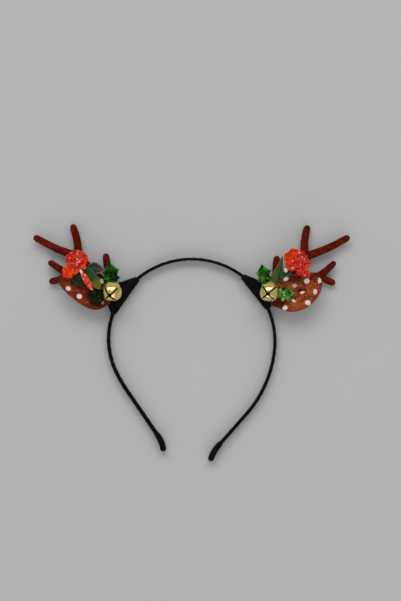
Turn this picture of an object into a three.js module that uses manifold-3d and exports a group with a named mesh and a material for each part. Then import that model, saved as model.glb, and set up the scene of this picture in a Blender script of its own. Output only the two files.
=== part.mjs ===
// Antler headband lying on its back, decorated side up. Millimetres and degrees, +Z up.
// While it is built, x = 0 is the middle of the hoop and +Y points from the neck to the crown.
// Every table gives x outwards from the middle, so one row serves a side and its mirror image.
import * as THREE from "three";
import { mergeVertices } from "three/addons/utils/BufferGeometryUtils.js";
import Module from "manifold-3d";

const wasm = await Module();
wasm.setup();

// Fit and wall sizes
const gap = 0.3; // between pieces that are glued or slipped together
const feltWall = 1;
const clothWall = 1.6;
const leafWall = 0.9;
const foilWall = 0.8;
const weldDistance = 1e-4; // corners nearer than this are one corner

// Ribbon-wound band, seen edge on from the front
const bandDepth = 5; // front to back
const bandThickness = { crown: 2, left: 3.1, right: 2.75 }; // it grows evenly to each end
const bandCorner = 0.6;
const facetLength = 5.5;
const crownY = 30.7;
const crownRadius = 62.5;
const crownStep = 5; // the crown's facets are centred on x = 0
const bandRuns = {
  left: {
    crownSweep: 57.5,
    bends: [
      { run: "temple", radius: 56, sweep: 58.5 },
      { run: "arm", radius: 112, sweep: 8.5 },
      { run: "shank", length: 39.4 },
      { run: "tip", radius: 25, sweep: -29.5 },
    ],
  },
  right: {
    crownSweep: 22.5,
    bends: [
      { run: "temple", radius: 61, sweep: 74.5 },
      { run: "arm", radius: 85.5, sweep: 34.5 },
      { run: "shank", length: 30.5 },
      { run: "tip", radius: 30, sweep: -26 },
    ],
  },
};

// Sleeves on the band's ends
const sleeveLength = 16.5;
const sleeveWidth = 4.6;
const sleeveCorner = 1.5;
const sleeveFloor = 3; // solid end beyond the band
const sleeveSections = [
  { along: 0, size: 0.9 },
  { along: 0.07, size: 1 },
  { along: 0.35, size: 1 },
  { along: 0.6, size: 1 },
  { along: 0.84, size: 1 },
  { along: 0.92, size: 0.88 },
  { along: 0.97, size: 0.66 },
  { along: 1, size: 0.3 },
];

// Felt patches, folded round the band: both ends are measured along the band from the crown,
// and the lobe is the round part under the bell
const patchHeight = bandDepth + 2 * (gap + feltWall);
const patchEndRadius = 2.3;
const patchEdge = 0.3;
const lobeRadius = 6.5;
const patches = {
  left: { from: 45, to: 74, lobe: { x: 58, y: 5 } },
  right: { from: 42, to: 69.5, lobe: { x: 57, y: 5 } },
};
const bandZ = patchHeight / 2;
const seatZ = patchHeight + gap; // underside of what is glued on the patches

// Antler bars, each from its root through a bend to its tip.
// The left antler is the right one's mirror image but for the bars that differ.
const barSides = 8;
const barSteps = 4;
const domeAngles = [35, 62, 82]; // facets of a tip's round end
const antlerBars = [
  { bar: "stem", points: [[58, 7.5, 3.8], [71.5, 20.4, 3.9], [84.7, 33.4, 4.2]], root: 2.2, tip: 2.9 },
  { bar: "long", points: [[83.6, 32.4, 4.2], [100.3, 38.6, 4.8], [116.6, 47.2, 5.6]], root: 2.9, tip: 2.3 },
  { bar: "upper", points: [[83.6, 31.8, 4.1], [83.5, 44, 3.7], [85.7, 55.6, 3.4]], root: 2.9, tip: 2.4 },
  { bar: "lower", points: [[70.4, 19.6, 3.9], [82.5, 18.3, 3.8], [95.4, 18, 3.7]], root: 2.4, tip: 2.5 },
  { bar: "third", points: [[92.5, 17.8, 3.7], [99, 21.8, 4.2], [106.2, 28.7, 4.8]], root: 2.5, tip: 2.1 },
  { bar: "fourth", points: [[92.5, 17.9, 3.7], [99, 15.6, 3.4], [106, 12.6, 3.1]], root: 2.5, tip: 2.3 },
  { bar: "brow", points: [[61.8, 11.2, 3.8], [62.2, 22, 4.3], [63.1, 33, 4.8]], root: 2.5, tip: 2.4 },
];
const leftPoints = {
  upper: [[83.6, 31.8, 4.1], [84.7, 44, 3.7], [88.2, 56.4, 3.4]],
  third: [[90.6, 19, 3.7], [97.5, 23.4, 4.2], [105.8, 28.9, 4.8]],
  fourth: [[92.5, 17.3, 3.7], [98.6, 15.3, 3.4], [105.4, 14, 3.1]],
  brow: [[61.8, 11.2, 3.8], [62.2, 22, 4.3], [63.6, 34.8, 4.8]],
};

// Cupped cloth ears: widths and edge lifts at places along each ear from its base
const earRows = 13;
const earColumns = 10;
const earRise = 0.04; // slope from base to tip
const ears = {
  left: {
    base: { x: 60.1, y: 0.4 },
    heading: 21,
    sections: [
      { along: 0, below: 3, above: 2.6, liftBelow: 0, liftAbove: 0 },
      { along: 3, below: 6.8, above: 5, liftBelow: 0.8, liftAbove: 0.2 },
      { along: 7, below: 9.8, above: 9.4, liftBelow: 1.6, liftAbove: 0.4 },
      { along: 13, below: 10.8, above: 12.4, liftBelow: 3, liftAbove: 1.2 },
      { along: 22, below: 9.2, above: 10.6, liftBelow: 4, liftAbove: 2 },
      { along: 31, below: 6.2, above: 8, liftBelow: 3.6, liftAbove: 2.2 },
      { along: 37, below: 3.2, above: 4.8, liftBelow: 2.4, liftAbove: 1.8 },
      { along: 40.2, below: 0.8, above: 1.1, liftBelow: 1, liftAbove: 1 },
    ],
  },
  right: {
    base: { x: 57.6, y: 0.7 },
    heading: 19,
    sections: [
      { along: 0, below: 4.4, above: 2.4, liftBelow: 0, liftAbove: 0 },
      { along: 4, below: 7.4, above: 3.8, liftBelow: 0.6, liftAbove: 0.4 },
      { along: 9, below: 11.6, above: 8.6, liftBelow: 2, liftAbove: 1.6 },
      { along: 16, below: 14, above: 11.6, liftBelow: 4, liftAbove: 3.4 },
      { along: 24, below: 13.7, above: 12.2, liftBelow: 5, liftAbove: 4 },
      { along: 32, below: 10.2, above: 10, liftBelow: 4.4, liftAbove: 3.6 },
      { along: 37.4, below: 5.4, above: 6, liftBelow: 3, liftAbove: 2.8 },
      { along: 40, below: 1, above: 1.6, liftBelow: 1.4, liftAbove: 1.4 },
    ],
  },
};

// Jingle bells: lean is how far the crossed slits face outwards and to the crown, for one unit up
const bellRadius = 7.5;
const bellWall = 0.7;
const bellSides = 18;
const bellRings = 10;
const bellZ = 17.4;
const seamRise = 0.25;
const slitWidth = 1.1;
const slitReach = 6.9; // from the bell's axis
const slitTurn = 40;
const slitFloor = 1.8; // above the bell's middle
const slitHole = 1.1;
const holeSides = 12;
const loopRadius = 2;
const loopFoot = 1.2; // half the way between the loop's two ends
const loopWire = 0.55;
const loopSides = 6;
const loopSteps = 10;
const bells = {
  left: { x: 58.5, y: 6.6, lean: { x: 0.22, y: -0.44 } },
  right: { x: 57.1, y: 6.4, lean: { x: -0.2, y: -0.2 } },
};

// Holly: half width at places along the leaf, as a share of the widest
const hollyOutline = [
  { along: 0, half: 0.2 },
  { along: 0.14, half: 0.62 },
  { along: 0.3, half: 0.96 },
  { along: 0.4, half: 0.72 },
  { along: 0.5, half: 0.76 },
  { along: 0.62, half: 1 },
  { along: 0.72, half: 0.62 },
  { along: 0.86, half: 0.42 },
  { along: 1, half: 0.06 },
];
const hollyColumns = 4;
const hollyLeaves = {
  left: [
    { leaf: "upper", base: [58.4, 10.6, 8.4], tip: [60.8, 28.4, 11], halfWidth: 6.4, fold: 0.2, arch: 0.6 },
    { leaf: "outer", base: [63, 4.6, 10.4], tip: [76.4, 2.3, 13.6], halfWidth: 5.6, fold: 0.2, arch: 0.4 },
  ],
  right: [
    { leaf: "upper", base: [55, 10.4, 8.4], tip: [51.5, 27, 13], halfWidth: 5.4, fold: 0.12, arch: 0.6 },
    { leaf: "outer", base: [62, 4.4, 10.4], tip: [75.6, 5.7, 13.8], halfWidth: 5.6, fold: 0.2, arch: 0.4 },
  ],
};

// Cloth leaves, creased along the middle: half width as a share of the widest
const leafOutline = [
  { along: 0, half: 0.22 },
  { along: 0.1, half: 0.56 },
  { along: 0.22, half: 0.88 },
  { along: 0.36, half: 1 },
  { along: 0.5, half: 0.93 },
  { along: 0.64, half: 0.76 },
  { along: 0.78, half: 0.54 },
  { along: 0.9, half: 0.34 },
  { along: 1, half: 0.2 },
];
const leafColumns = 4;
const clothLeaves = {
  left: [
    { leaf: "inner", base: [78.6, 24.6, 14.2], tip: [67.4, 9, 13.6], halfWidth: 3.5, fold: 0.12, arch: 0.1 },
    { leaf: "middle", base: [77.4, 25.8, 12], tip: [64.4, 21.2, 13.4], halfWidth: 4.6, fold: 0.08, arch: 0 },
    { leaf: "outer", base: [85.6, 22, 13.8], tip: [80.6, 10.2, 13.6], halfWidth: 4.9, fold: 0.1, arch: 0.2 },
  ],
  right: [
    { leaf: "upright", base: [61.4, 10.2, 8.4], tip: [66.9, 32.4, 11], halfWidth: 4.3, fold: 0.15, arch: 0.2 },
    { leaf: "low", base: [73.4, 24.4, 14.8], tip: [65.4, 17.2, 14.6], halfWidth: 3.2, fold: 0.12, arch: 0.2 },
  ],
};

// Flower sprays: a stem boss on the antler, and petals by bearing from outwards towards the crown
const bossProfile = [
  { radius: 0, z: 7.4 },
  { radius: 3.2, z: 7.4 },
  { radius: 4.6, z: 10.4 },
  { radius: 4.6, z: 14 },
  { radius: 2.8, z: 16.4 },
  { radius: 0, z: 17 },
];
const bossSides = 12;
const petalWall = 1.4;
const petalStart = 1.5; // from the boss's axis
const petalFold = 0.15;
const petalSag = 0.4;
const petalColumns = 4;
const petalOutline = [
  { along: 0, half: 0.62 },
  { along: 0.3, half: 0.9 },
  { along: 0.6, half: 1 },
  { along: 0.84, half: 0.84 },
  { along: 1, half: 0.36 },
];
const flowers = {
  left: {
    boss: { x: 83, y: 28.3 },
    petals: [
      { bearing: -36, reach: 15.4, halfWidth: 4.6, from: 15.4, to: 16.2 },
      { bearing: 26, reach: 10.2, halfWidth: 4.2, from: 13.5, to: 15.5 },
      { bearing: 82, reach: 8.8, halfWidth: 4.2, from: 13.5, to: 16 },
      { bearing: 140, reach: 7.8, halfWidth: 3.6, from: 14.2, to: 16.4 },
      { bearing: 222, reach: 8, halfWidth: 2.4, from: 15.8, to: 17.6 },
    ],
  },
  right: {
    boss: { x: 78, y: 27.2 },
    petals: [
      { bearing: 144, reach: 12, halfWidth: 4, from: 13, to: 16 },
      { bearing: 110, reach: 11.6, halfWidth: 4, from: 14, to: 17 },
      { bearing: 182, reach: 9.4, halfWidth: 3.6, from: 16.4, to: 17 },
      { bearing: 66, reach: 9, halfWidth: 3.4, from: 13.4, to: 15 },
      { bearing: -2, reach: 9.4, halfWidth: 2.6, from: 14, to: 15.4 },
      { bearing: -52, reach: 13, halfWidth: 2.6, from: 16.4, to: 17.6 },
    ],
  },
};

// Beaded pod on a short wire, left spray only
const podPath = { bar: "pod", points: [[81.7, 23.1, 16.2], [79, 18.2, 17.6], [72.6, 7.6, 17.2]] };
const podSides = 10;
const podSections = [
  { along: 0, radius: 0.6 },
  { along: 0.12, radius: 0.6 },
  { along: 0.18, radius: 1.5 },
  { along: 0.36, radius: 2.2 },
  { along: 0.62, radius: 2.4 },
  { along: 0.84, radius: 2.1 },
  { along: 0.95, radius: 1.3 },
  { along: 1, radius: 0.4 },
];

const sign = { left: -1, right: 1 };
const radians = THREE.MathUtils.degToRad;

// Point of a table row on its own side
function place(side, [x, y, z]) {
  return new THREE.Vector3(sign[side] * x, y, z);
}

// Indexed geometry whose faces point outwards
function closedGeometry(points, indices) {
  let volume = 0;
  for (let k = 0; k < indices.length; k += 3) {
    const [a, b, c] = [0, 1, 2].map((corner) => points[indices[k + corner]]);
    volume += a.dot(b.clone().cross(c));
  }
  const geometry = new THREE.BufferGeometry().setFromPoints(points);
  geometry.setIndex(volume < 0 ? [...indices].reverse() : indices);
  return geometry;
}

// Solid through rings of equal count, with a flat cap on each end ring
function loft(rings) {
  const count = rings[0].length;
  const last = (rings.length - 1) * count;
  const indices = [];
  for (let start = 0; start < last; start += count) {
    for (let k = 0; k < count; k += 1) {
      const a = start + k;
      const b = start + ((k + 1) % count);
      indices.push(a, b, b + count, a, b + count, a + count);
    }
  }
  for (let k = 1; k + 1 < count; k += 1) {
    indices.push(0, k + 1, k, last, last + k, last + k + 1);
  }
  return closedGeometry(rings.flat(), indices);
}

// Sections set square to a curve: each stop is a share of its length and a flat outline.
// The outline's y axis keeps as near to upright as the curve allows.
function sweep(curve, stops, upright = new THREE.Vector3(0, 0, 1)) {
  const rings = stops.map(({ along, outline }) => {
    const point = curve.getPointAt(along);
    const tangent = curve.getTangentAt(along);
    const across = tangent.clone().cross(upright).normalize();
    const up = across.clone().cross(tangent);
    return outline.map(({ x, y }) => point.clone().addScaledVector(across, x).addScaledVector(up, y));
  });
  return loft(rings);
}

function circleOutline(radius, sides) {
  return Array.from({ length: sides }, (_, k) => {
    const angle = (k / sides) * 2 * Math.PI;
    return new THREE.Vector2(radius * Math.cos(angle), radius * Math.sin(angle));
  });
}

// Rectangle with chamfered corners, eight points
function chamferedOutline(width, height, corner) {
  const [w, h] = [width / 2, height / 2];
  const corners = [[w, h - corner], [w - corner, h], [corner - w, h], [-w, h - corner]];
  const half = corners.map(([x, y]) => new THREE.Vector2(x, y));
  return [...half, ...half.map((point) => point.clone().negate())];
}

// Curved wall of even thickness: surface(u, v) is its middle, u from 0 to 1 and v from -1 to 1
function sheet(surface, rowStops, columns, wall) {
  const step = 0.01;
  const front = [];
  const back = [];
  for (const u of rowStops) {
    for (let k = 0; k <= columns; k += 1) {
      const v = (2 * k) / columns - 1;
      const along = surface(Math.min(u + step, 1), v).sub(surface(Math.max(u - step, 0), v));
      const across = surface(u, Math.min(v + step, 1)).sub(surface(u, Math.max(v - step, -1)));
      const offset = along.cross(across).setLength(wall / 2);
      front.push(surface(u, v).add(offset));
      back.push(surface(u, v).sub(offset));
    }
  }
  const width = columns + 1;
  const total = front.length;
  const indices = [];
  const quad = (a, b, c, d) => indices.push(a, b, c, a, c, d);
  for (let row = 0; row + 1 < rowStops.length; row += 1) {
    const start = row * width;
    for (let k = 0; k < columns; k += 1) {
      const a = start + k;
      quad(a, a + width, a + width + 1, a + 1);
      quad(a + total, a + total + 1, a + total + width + 1, a + total + width);
    }
    const end = start + columns;
    quad(start + total, start + total + width, start + width, start);
    quad(end, end + width, end + total + width, end + total);
  }
  const lastRow = total - width;
  for (let k = 0; k < columns; k += 1) {
    quad(k, k + 1, k + 1 + total, k + total);
    quad(lastRow + k + total, lastRow + k + 1 + total, lastRow + k + 1, lastRow + k);
  }
  return closedGeometry([...front, ...back], indices);
}

function evenStops(count) {
  return Array.from({ length: count + 1 }, (_, k) => k / count);
}

// Booleans on closed geometries
function toSolid(geometry) {
  const bare = geometry.clone();
  bare.deleteAttribute("normal");
  bare.deleteAttribute("uv");
  const merged = mergeVertices(bare, weldDistance);
  const corners = Array.from(merged.index.array);
  const kept = [];
  for (let k = 0; k < corners.length; k += 3) {
    const [a, b, c] = corners.slice(k, k + 3);
    if (a !== b && b !== c && c !== a) kept.push(a, b, c);
  }
  const mesh = new wasm.Mesh({
    numProp: 3,
    vertProperties: new Float32Array(merged.attributes.position.array),
    triVerts: new Uint32Array(kept),
  });
  return new wasm.Manifold(mesh);
}

function toGeometry(solid) {
  const mesh = solid.getMesh();
  const geometry = new THREE.BufferGeometry();
  geometry.setAttribute("position", new THREE.BufferAttribute(mesh.vertProperties, 3));
  geometry.setIndex(new THREE.BufferAttribute(mesh.triVerts, 1));
  return geometry;
}

function join(geometries) {
  return geometries.map(toSolid).reduce((whole, next) => whole.add(next));
}

// Level arc or bend of the band, walked from one turned angle to another
class LevelArc extends THREE.Curve {
  constructor(side, centre, radius, from, to) {
    super();
    Object.assign(this, { side, centre, radius, from, to });
  }

  getPoint(t, target = new THREE.Vector3()) {
    const turn = radians(THREE.MathUtils.lerp(this.from, this.to, t));
    const x = this.centre.x + this.radius * Math.sin(turn);
    const y = this.centre.y + this.radius * Math.cos(turn);
    return target.set(sign[this.side] * x, y, bandZ);
  }
}

// Runs of one half of the band, walked outwards from the end of the crown's arc
function halfRuns(side) {
  const { crownSweep, bends } = bandRuns[side];
  const crownTurn = radians(crownSweep);
  let turn = crownSweep;
  let x = crownRadius * Math.sin(crownTurn);
  let y = crownY - crownRadius * (1 - Math.cos(crownTurn));
  return bends.map(({ radius, sweep: bend, length }) => {
    const heading = radians(turn);
    if (length) {
      const start = place(side, [x, y, bandZ]);
      x += length * Math.cos(heading);
      y -= length * Math.sin(heading);
      return new THREE.LineCurve3(start, place(side, [x, y, bandZ]));
    }
    const signed = Math.sign(bend) * radius;
    const centre = { x: x - signed * Math.sin(heading), y: y - signed * Math.cos(heading) };
    const arc = new LevelArc(side, centre, signed, turn, turn + bend);
    turn += bend;
    x = centre.x + signed * Math.sin(radians(turn));
    y = centre.y + signed * Math.cos(radians(turn));
    return arc;
  });
}

function reversedRun(run) {
  if (run.isLineCurve3) return new THREE.LineCurve3(run.v2, run.v1);
  return new LevelArc(run.side, run.centre, run.radius, run.to, run.from);
}

// Whole centreline from the left end over the crown to the right end
function bandCentreline() {
  const path = new THREE.CurvePath();
  const crownCentre = { x: 0, y: crownY - crownRadius };
  const { left, right } = bandRuns;
  const crown = new LevelArc("right", crownCentre, crownRadius, -left.crownSweep, right.crownSweep);
  path.curves = [...halfRuns("left").reverse().map(reversedRun), crown, ...halfRuns("right")];
  return path;
}

const centreline = bandCentreline();
const bandLength = centreline.getLength();
const crownRun = bandRuns.left.bends.length;
const leftCrown = crownRadius * radians(bandRuns.left.crownSweep);
const crownPlace = centreline.getCurveLengths()[crownRun - 1] + leftCrown;

// Place on the centreline, by distance from the crown towards one side
function bandPoint(side, distance) {
  return centreline.getPointAt((crownPlace + sign[side] * distance) / bandLength);
}

function bandThicknessAt(spot) {
  const side = spot < crownPlace ? "left" : "right";
  const whole = side === "left" ? crownPlace : bandLength - crownPlace;
  const share = Math.abs(spot - crownPlace) / whole;
  return THREE.MathUtils.lerp(bandThickness.crown, bandThickness[side], share);
}

function bandStops(from, to, outlineAt) {
  const lengths = centreline.getCurveLengths();
  const places = [from];
  let start = 0;
  centreline.curves.forEach((run, k) => {
    const length = lengths[k] - start;
    const crownSteps = Math.round((bandRuns.left.crownSweep + bandRuns.right.crownSweep) / crownStep);
    const steps = k === crownRun ? crownSteps : Math.ceil(length / facetLength);
    for (let step = 0; step < steps; step += 1) {
      places.push(start + (length * step) / steps);
    }
    start = lengths[k];
  });
  places.push(to);
  const kept = places.filter((spot) => spot >= from && spot <= to);
  return [...new Set(kept)].map((spot) => ({ along: spot / bandLength, outline: outlineAt(spot) }));
}

function bandGeometry(inflation = 0) {
  const grow = 2 * inflation;
  const corner = bandCorner + inflation / 2;
  const outlineAt = (spot) => chamferedOutline(bandThicknessAt(spot) + grow, bandDepth + grow, corner);
  const end = sleeveFloor - inflation;
  return sweep(centreline, bandStops(end, bandLength - end, outlineAt));
}

function sleeveGeometry(side, bandHole) {
  const stops = sleeveSections.map(({ along, size }) => {
    const inward = sleeveLength * (1 - along);
    const spot = side === "left" ? inward : bandLength - inward;
    const outline = chamferedOutline(sleeveWidth * size, patchHeight * size, sleeveCorner * size);
    return { along: spot / bandLength, outline };
  });
  return toGeometry(toSolid(sweep(centreline, stops)).subtract(bandHole));
}

// Outline of a string pulled taut round pegs, which are listed anticlockwise
function tautShape(pegs) {
  const shape = new THREE.Shape();
  const tangents = pegs.map((peg, k) => {
    const next = pegs[(k + 1) % pegs.length];
    const apart = new THREE.Vector2(next.x - peg.x, next.y - peg.y);
    return apart.angle() - Math.acos((peg.radius - next.radius) / apart.length());
  });
  pegs.forEach((peg, k) => {
    const arriving = tangents[(k + pegs.length - 1) % pegs.length];
    shape.absarc(peg.x, peg.y, peg.radius, arriving, tangents[k], false);
  });
  return shape;
}

function patchPegs(side, inset) {
  const { from, to, lobe } = patches[side];
  const upper = bandPoint(side, from);
  const lower = bandPoint(side, to);
  const pegs = [
    { x: upper.x, y: upper.y, radius: patchEndRadius - inset },
    { x: lower.x, y: lower.y, radius: patchEndRadius - inset },
    { x: sign[side] * lobe.x, y: lobe.y, radius: lobeRadius - inset },
  ];
  return side === "right" ? pegs : pegs.reverse();
}

function patchSolid(side, inset, low, high, edge) {
  const geometry = new THREE.ExtrudeGeometry(tautShape(patchPegs(side, inset + edge)), {
    depth: high - low - 2 * edge,
    bevelEnabled: edge > 0,
    bevelThickness: edge,
    bevelSize: edge,
    bevelSegments: 1,
    curveSegments: 5,
  });
  return toSolid(geometry.translate(0, 0, low + edge));
}

function barCurve(side, { bar, points }) {
  const own = (side === "left" && leftPoints[bar]) || points;
  return new THREE.CatmullRomCurve3(own.map((point) => place(side, point)));
}

// Round bar that tapers from root to tip and ends in a dome
function barGeometry(side, bar, inflation = 0) {
  const curve = barCurve(side, bar);
  const length = curve.getLength();
  const straight = length - bar.tip;
  const stops = evenStops(barSteps).map((share) => ({
    along: (straight * share) / length,
    radius: THREE.MathUtils.lerp(bar.root, bar.tip, share),
  }));
  for (const angle of domeAngles.map(radians)) {
    stops.push({ along: (straight + bar.tip * Math.sin(angle)) / length, radius: bar.tip * Math.cos(angle) });
  }
  const sections = stops.map(({ along, radius }) => ({
    along,
    outline: circleOutline(radius + inflation, barSides),
  }));
  return sweep(curve, sections);
}

function antlerGeometry(side) {
  return toGeometry(join(antlerBars.map((bar) => barGeometry(side, bar))));
}

function patchGeometry(side, bandHole) {
  const pocket = patchSolid(side, feltWall, feltWall, patchHeight - feltWall, 0);
  const rootHole = toSolid(barGeometry(side, antlerBars[0], gap));
  const felt = patchSolid(side, 0, 0, patchHeight, patchEdge).subtract(pocket);
  return toGeometry(felt.subtract(bandHole).subtract(rootHole));
}

// Reads every column of a table of sections, smoothly, at any place along it
function sectionReader(sections) {
  const columns = Object.keys(sections[0]).filter((column) => column !== "along");
  const places = sections.map((section) => section.along);
  const values = sections.flatMap((section) => columns.map((column) => section[column]));
  const interpolant = new THREE.CubicInterpolant(places, values, columns.length);
  return (along) => {
    const found = interpolant.evaluate(along);
    return Object.fromEntries(columns.map((column, k) => [column, found[k]]));
  };
}

function earGeometry(side) {
  const { base, heading, sections } = ears[side];
  const read = sectionReader(sections);
  const length = sections.at(-1).along;
  const [cos, sin] = [Math.cos(radians(heading)), Math.sin(radians(heading))];
  const surface = (u, v) => {
    const along = u * length;
    const section = read(along);
    const across = v * (v < 0 ? section.below : section.above);
    const lift = v * v * (v < 0 ? section.liftBelow : section.liftAbove);
    const z = seatZ + clothWall / 2 + earRise * along + lift;
    return place(side, [base.x + along * cos - across * sin, base.y + along * sin + across * cos, z]);
  };
  return sheet(surface, evenStops(earRows), earColumns, clothWall);
}

// Leaf or petal from base to tip, creased along its middle, with straight edges between its outline's rows
function leafGeometry(side, { base, tip, halfWidth, fold, arch }, outline, columns, wall) {
  const start = place(side, base);
  const end = place(side, tip);
  const across = end.clone().sub(start).setZ(0).normalize();
  across.set(-across.y, across.x, 0);
  const surface = (u, v) => {
    const width = halfWidth * halfAt(outline, u);
    const point = start.clone().lerp(end, u).addScaledVector(across, v * width);
    point.z += arch * Math.sin(Math.PI * u) + fold * Math.abs(v) * width;
    return point;
  };
  return sheet(surface, outline.map((row) => row.along), columns, wall);
}

function halfAt(outline, u) {
  const next = Math.max(1, outline.findIndex((row) => row.along >= u));
  const [low, high] = [outline[next - 1], outline[next]];
  return THREE.MathUtils.mapLinear(u, low.along, high.along, low.half, high.half);
}

function bellGeometry(side) {
  const { x, y, lean } = bells[side];
  const ball = (radius, seam) => {
    const profile = evenStops(bellRings).map((share) => {
      const angle = Math.PI * (share - 0.5);
      const swell = share === 0.5 ? seam : 0;
      return new THREE.Vector2((radius + swell) * Math.cos(angle), radius * Math.sin(angle));
    });
    return toSolid(new THREE.LatheGeometry(profile, bellSides).rotateX(Math.PI / 2));
  };
  const slitDepth = 2 * bellRadius;
  const slits = [0, 90].map((turn) => {
    const slit = new THREE.BoxGeometry(2 * slitReach, slitWidth, slitDepth);
    return slit.rotateZ(radians(slitTurn + turn)).translate(0, 0, slitDepth / 2 + slitFloor);
  });
  const hole = new THREE.CylinderGeometry(slitHole, slitHole, slitDepth, holeSides);
  slits.push(hole.rotateX(Math.PI / 2).translate(0, 0, slitDepth / 2));
  const hollow = ball(bellRadius, seamRise).subtract(ball(bellRadius - bellWall, 0)).subtract(join(slits));

  const facing = new THREE.Vector3(sign[side] * lean.x, lean.y, 1).normalize();
  const turned = toGeometry(hollow);
  turned.applyQuaternion(new THREE.Quaternion().setFromUnitVectors(new THREE.Vector3(0, 0, 1), facing));
  turned.translate(sign[side] * x, y, bellZ);
  return toGeometry(toSolid(turned).add(toSolid(loopGeometry(side))));
}

// Wire loop behind a bell, from the shell down to the patch and back
function loopGeometry(side) {
  const { x, y } = bells[side];
  const low = seatZ + loopWire;
  const high = bellZ - bellRadius + bellWall / 2;
  const level = (low + high) / 2;
  const half = [[-loopFoot, high], [-loopRadius, level], [0, low]];
  const points = [...half, [loopRadius, level], [loopFoot, high]];
  const curve = new THREE.CatmullRomCurve3(points.map(([along, z]) => place(side, [x, y + along, z])));
  const outline = circleOutline(loopWire, loopSides);
  const stops = evenStops(loopSteps).map((along) => ({ along, outline }));
  return sweep(curve, stops, new THREE.Vector3(1, 0, 0));
}

function flowerGeometry(side) {
  const { boss, petals } = flowers[side];
  const profile = bossProfile.map(({ radius, z }) => new THREE.Vector2(radius, z));
  const core = new THREE.LatheGeometry(profile, bossSides).rotateX(Math.PI / 2);
  core.translate(sign[side] * boss.x, boss.y, 0);
  const blades = petals.map(({ bearing, reach, halfWidth, from, to }) => {
    const [cos, sin] = [Math.cos(radians(bearing)), Math.sin(radians(bearing))];
    const base = [boss.x + petalStart * cos, boss.y + petalStart * sin, from];
    const tip = [boss.x + reach * cos, boss.y + reach * sin, to];
    const petal = { base, tip, halfWidth, fold: petalFold, arch: -petalSag };
    return leafGeometry(side, petal, petalOutline, petalColumns, petalWall);
  });
  return toGeometry(join([core, ...blades]));
}

function podGeometry() {
  const stops = podSections.map(({ along, radius }) => ({ along, outline: circleOutline(radius, podSides) }));
  return sweep(barCurve("left", podPath), stops);
}

// Finishes
const finish = (color, roughness, metalness = 0) => ({ color, roughness, metalness });
const satinBlack = finish(0x0b0b0c, 0.55);
const feltBlack = finish(0x0d0d0e, 0.95);
const flockedBrown = finish(0x4a130b, 0.95);
const earCloth = finish(0x7a3517, 0.85);
const gold = finish(0xd8b658, 0.22, 1);
const hollyFoil = finish(0x0c5a1e, 0.3, 0.3);
const leafGreen = finish(0x23492f, 0.8);
const petalOrange = finish(0xf2551d, 0.6);
const podRed = finish(0xd8261c, 0.35);

const headband = new THREE.Group();

function addPiece(name, geometry, looks) {
  const mesh = new THREE.Mesh(geometry, new THREE.MeshStandardMaterial({ ...looks, flatShading: true }));
  mesh.name = name;
  headband.add(mesh);
}

const bandHole = toSolid(bandGeometry(gap));
addPiece("band", bandGeometry(), satinBlack);
for (const side of ["left", "right"]) {
  addPiece(`tip_${side}`, sleeveGeometry(side, bandHole), satinBlack);
  addPiece(`felt_patch_${side}`, patchGeometry(side, bandHole), feltBlack);
  addPiece(`antler_${side}`, antlerGeometry(side), flockedBrown);
  addPiece(`ear_${side}`, earGeometry(side), earCloth);
  addPiece(`bell_${side}`, bellGeometry(side), gold);
  for (const leaf of hollyLeaves[side]) {
    const geometry = leafGeometry(side, leaf, hollyOutline, hollyColumns, foilWall);
    addPiece(`holly_${side}_${leaf.leaf}`, geometry, hollyFoil);
  }
  for (const leaf of clothLeaves[side]) {
    const geometry = leafGeometry(side, leaf, leafOutline, leafColumns, leafWall);
    addPiece(`leaf_${side}_${leaf.leaf}`, geometry, leafGreen);
  }
  addPiece(`flower_${side}`, flowerGeometry(side), petalOrange);
}
addPiece("bead_pod_left", podGeometry(), podRed);

// The origin is the bottom centre of the whole headband
const box = new THREE.Box3().setFromObject(headband);
const middle = box.getCenter(new THREE.Vector3());
headband.position.set(-middle.x, -middle.y, -box.min.z);

export default headband;
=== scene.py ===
# Antler headband on a pale floor: wound hoop, flocked antlers, spotted ears, bells, holly and beaded sprays
import math

import bmesh
import bpy
import numpy as np
from mathutils import Matrix, Vector, noise


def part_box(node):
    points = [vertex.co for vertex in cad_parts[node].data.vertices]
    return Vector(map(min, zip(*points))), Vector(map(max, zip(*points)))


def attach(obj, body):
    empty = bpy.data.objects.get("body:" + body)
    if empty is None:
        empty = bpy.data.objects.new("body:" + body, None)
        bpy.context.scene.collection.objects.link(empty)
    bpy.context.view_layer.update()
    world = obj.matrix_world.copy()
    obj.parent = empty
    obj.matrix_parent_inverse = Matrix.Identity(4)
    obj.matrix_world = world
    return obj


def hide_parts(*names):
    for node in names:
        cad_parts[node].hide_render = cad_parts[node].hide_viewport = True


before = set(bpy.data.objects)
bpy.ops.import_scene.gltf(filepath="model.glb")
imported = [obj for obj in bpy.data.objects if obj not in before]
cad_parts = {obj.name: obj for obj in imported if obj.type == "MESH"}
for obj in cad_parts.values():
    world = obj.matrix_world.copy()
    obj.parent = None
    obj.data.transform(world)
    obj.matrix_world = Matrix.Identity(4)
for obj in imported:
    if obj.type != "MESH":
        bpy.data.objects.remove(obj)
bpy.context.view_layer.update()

mm = 0.001
weld = 0.01 * mm  # corners nearer than this are one
rimShare = 0.45  # how far a sheet's rounded rim stands out, as a share of its wall
noiseStep = (7.3, 3.1, 5.7)  # keeps one seed's noise unlike the next one's
sideSign = {"left": -1, "right": 1}
drawing = {"crownTop": 31.6475, "bandZ": 3.8}  # the hoop's highest outer point and mid depth, in drawing mm
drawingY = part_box("band")[1].y - drawing["crownTop"] * mm


def toFrame(points):  # drawing millimetres to metres in the shared frame
    return np.asarray(points, dtype=float) * mm + np.array([0.0, drawingY, 0.0])


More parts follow.
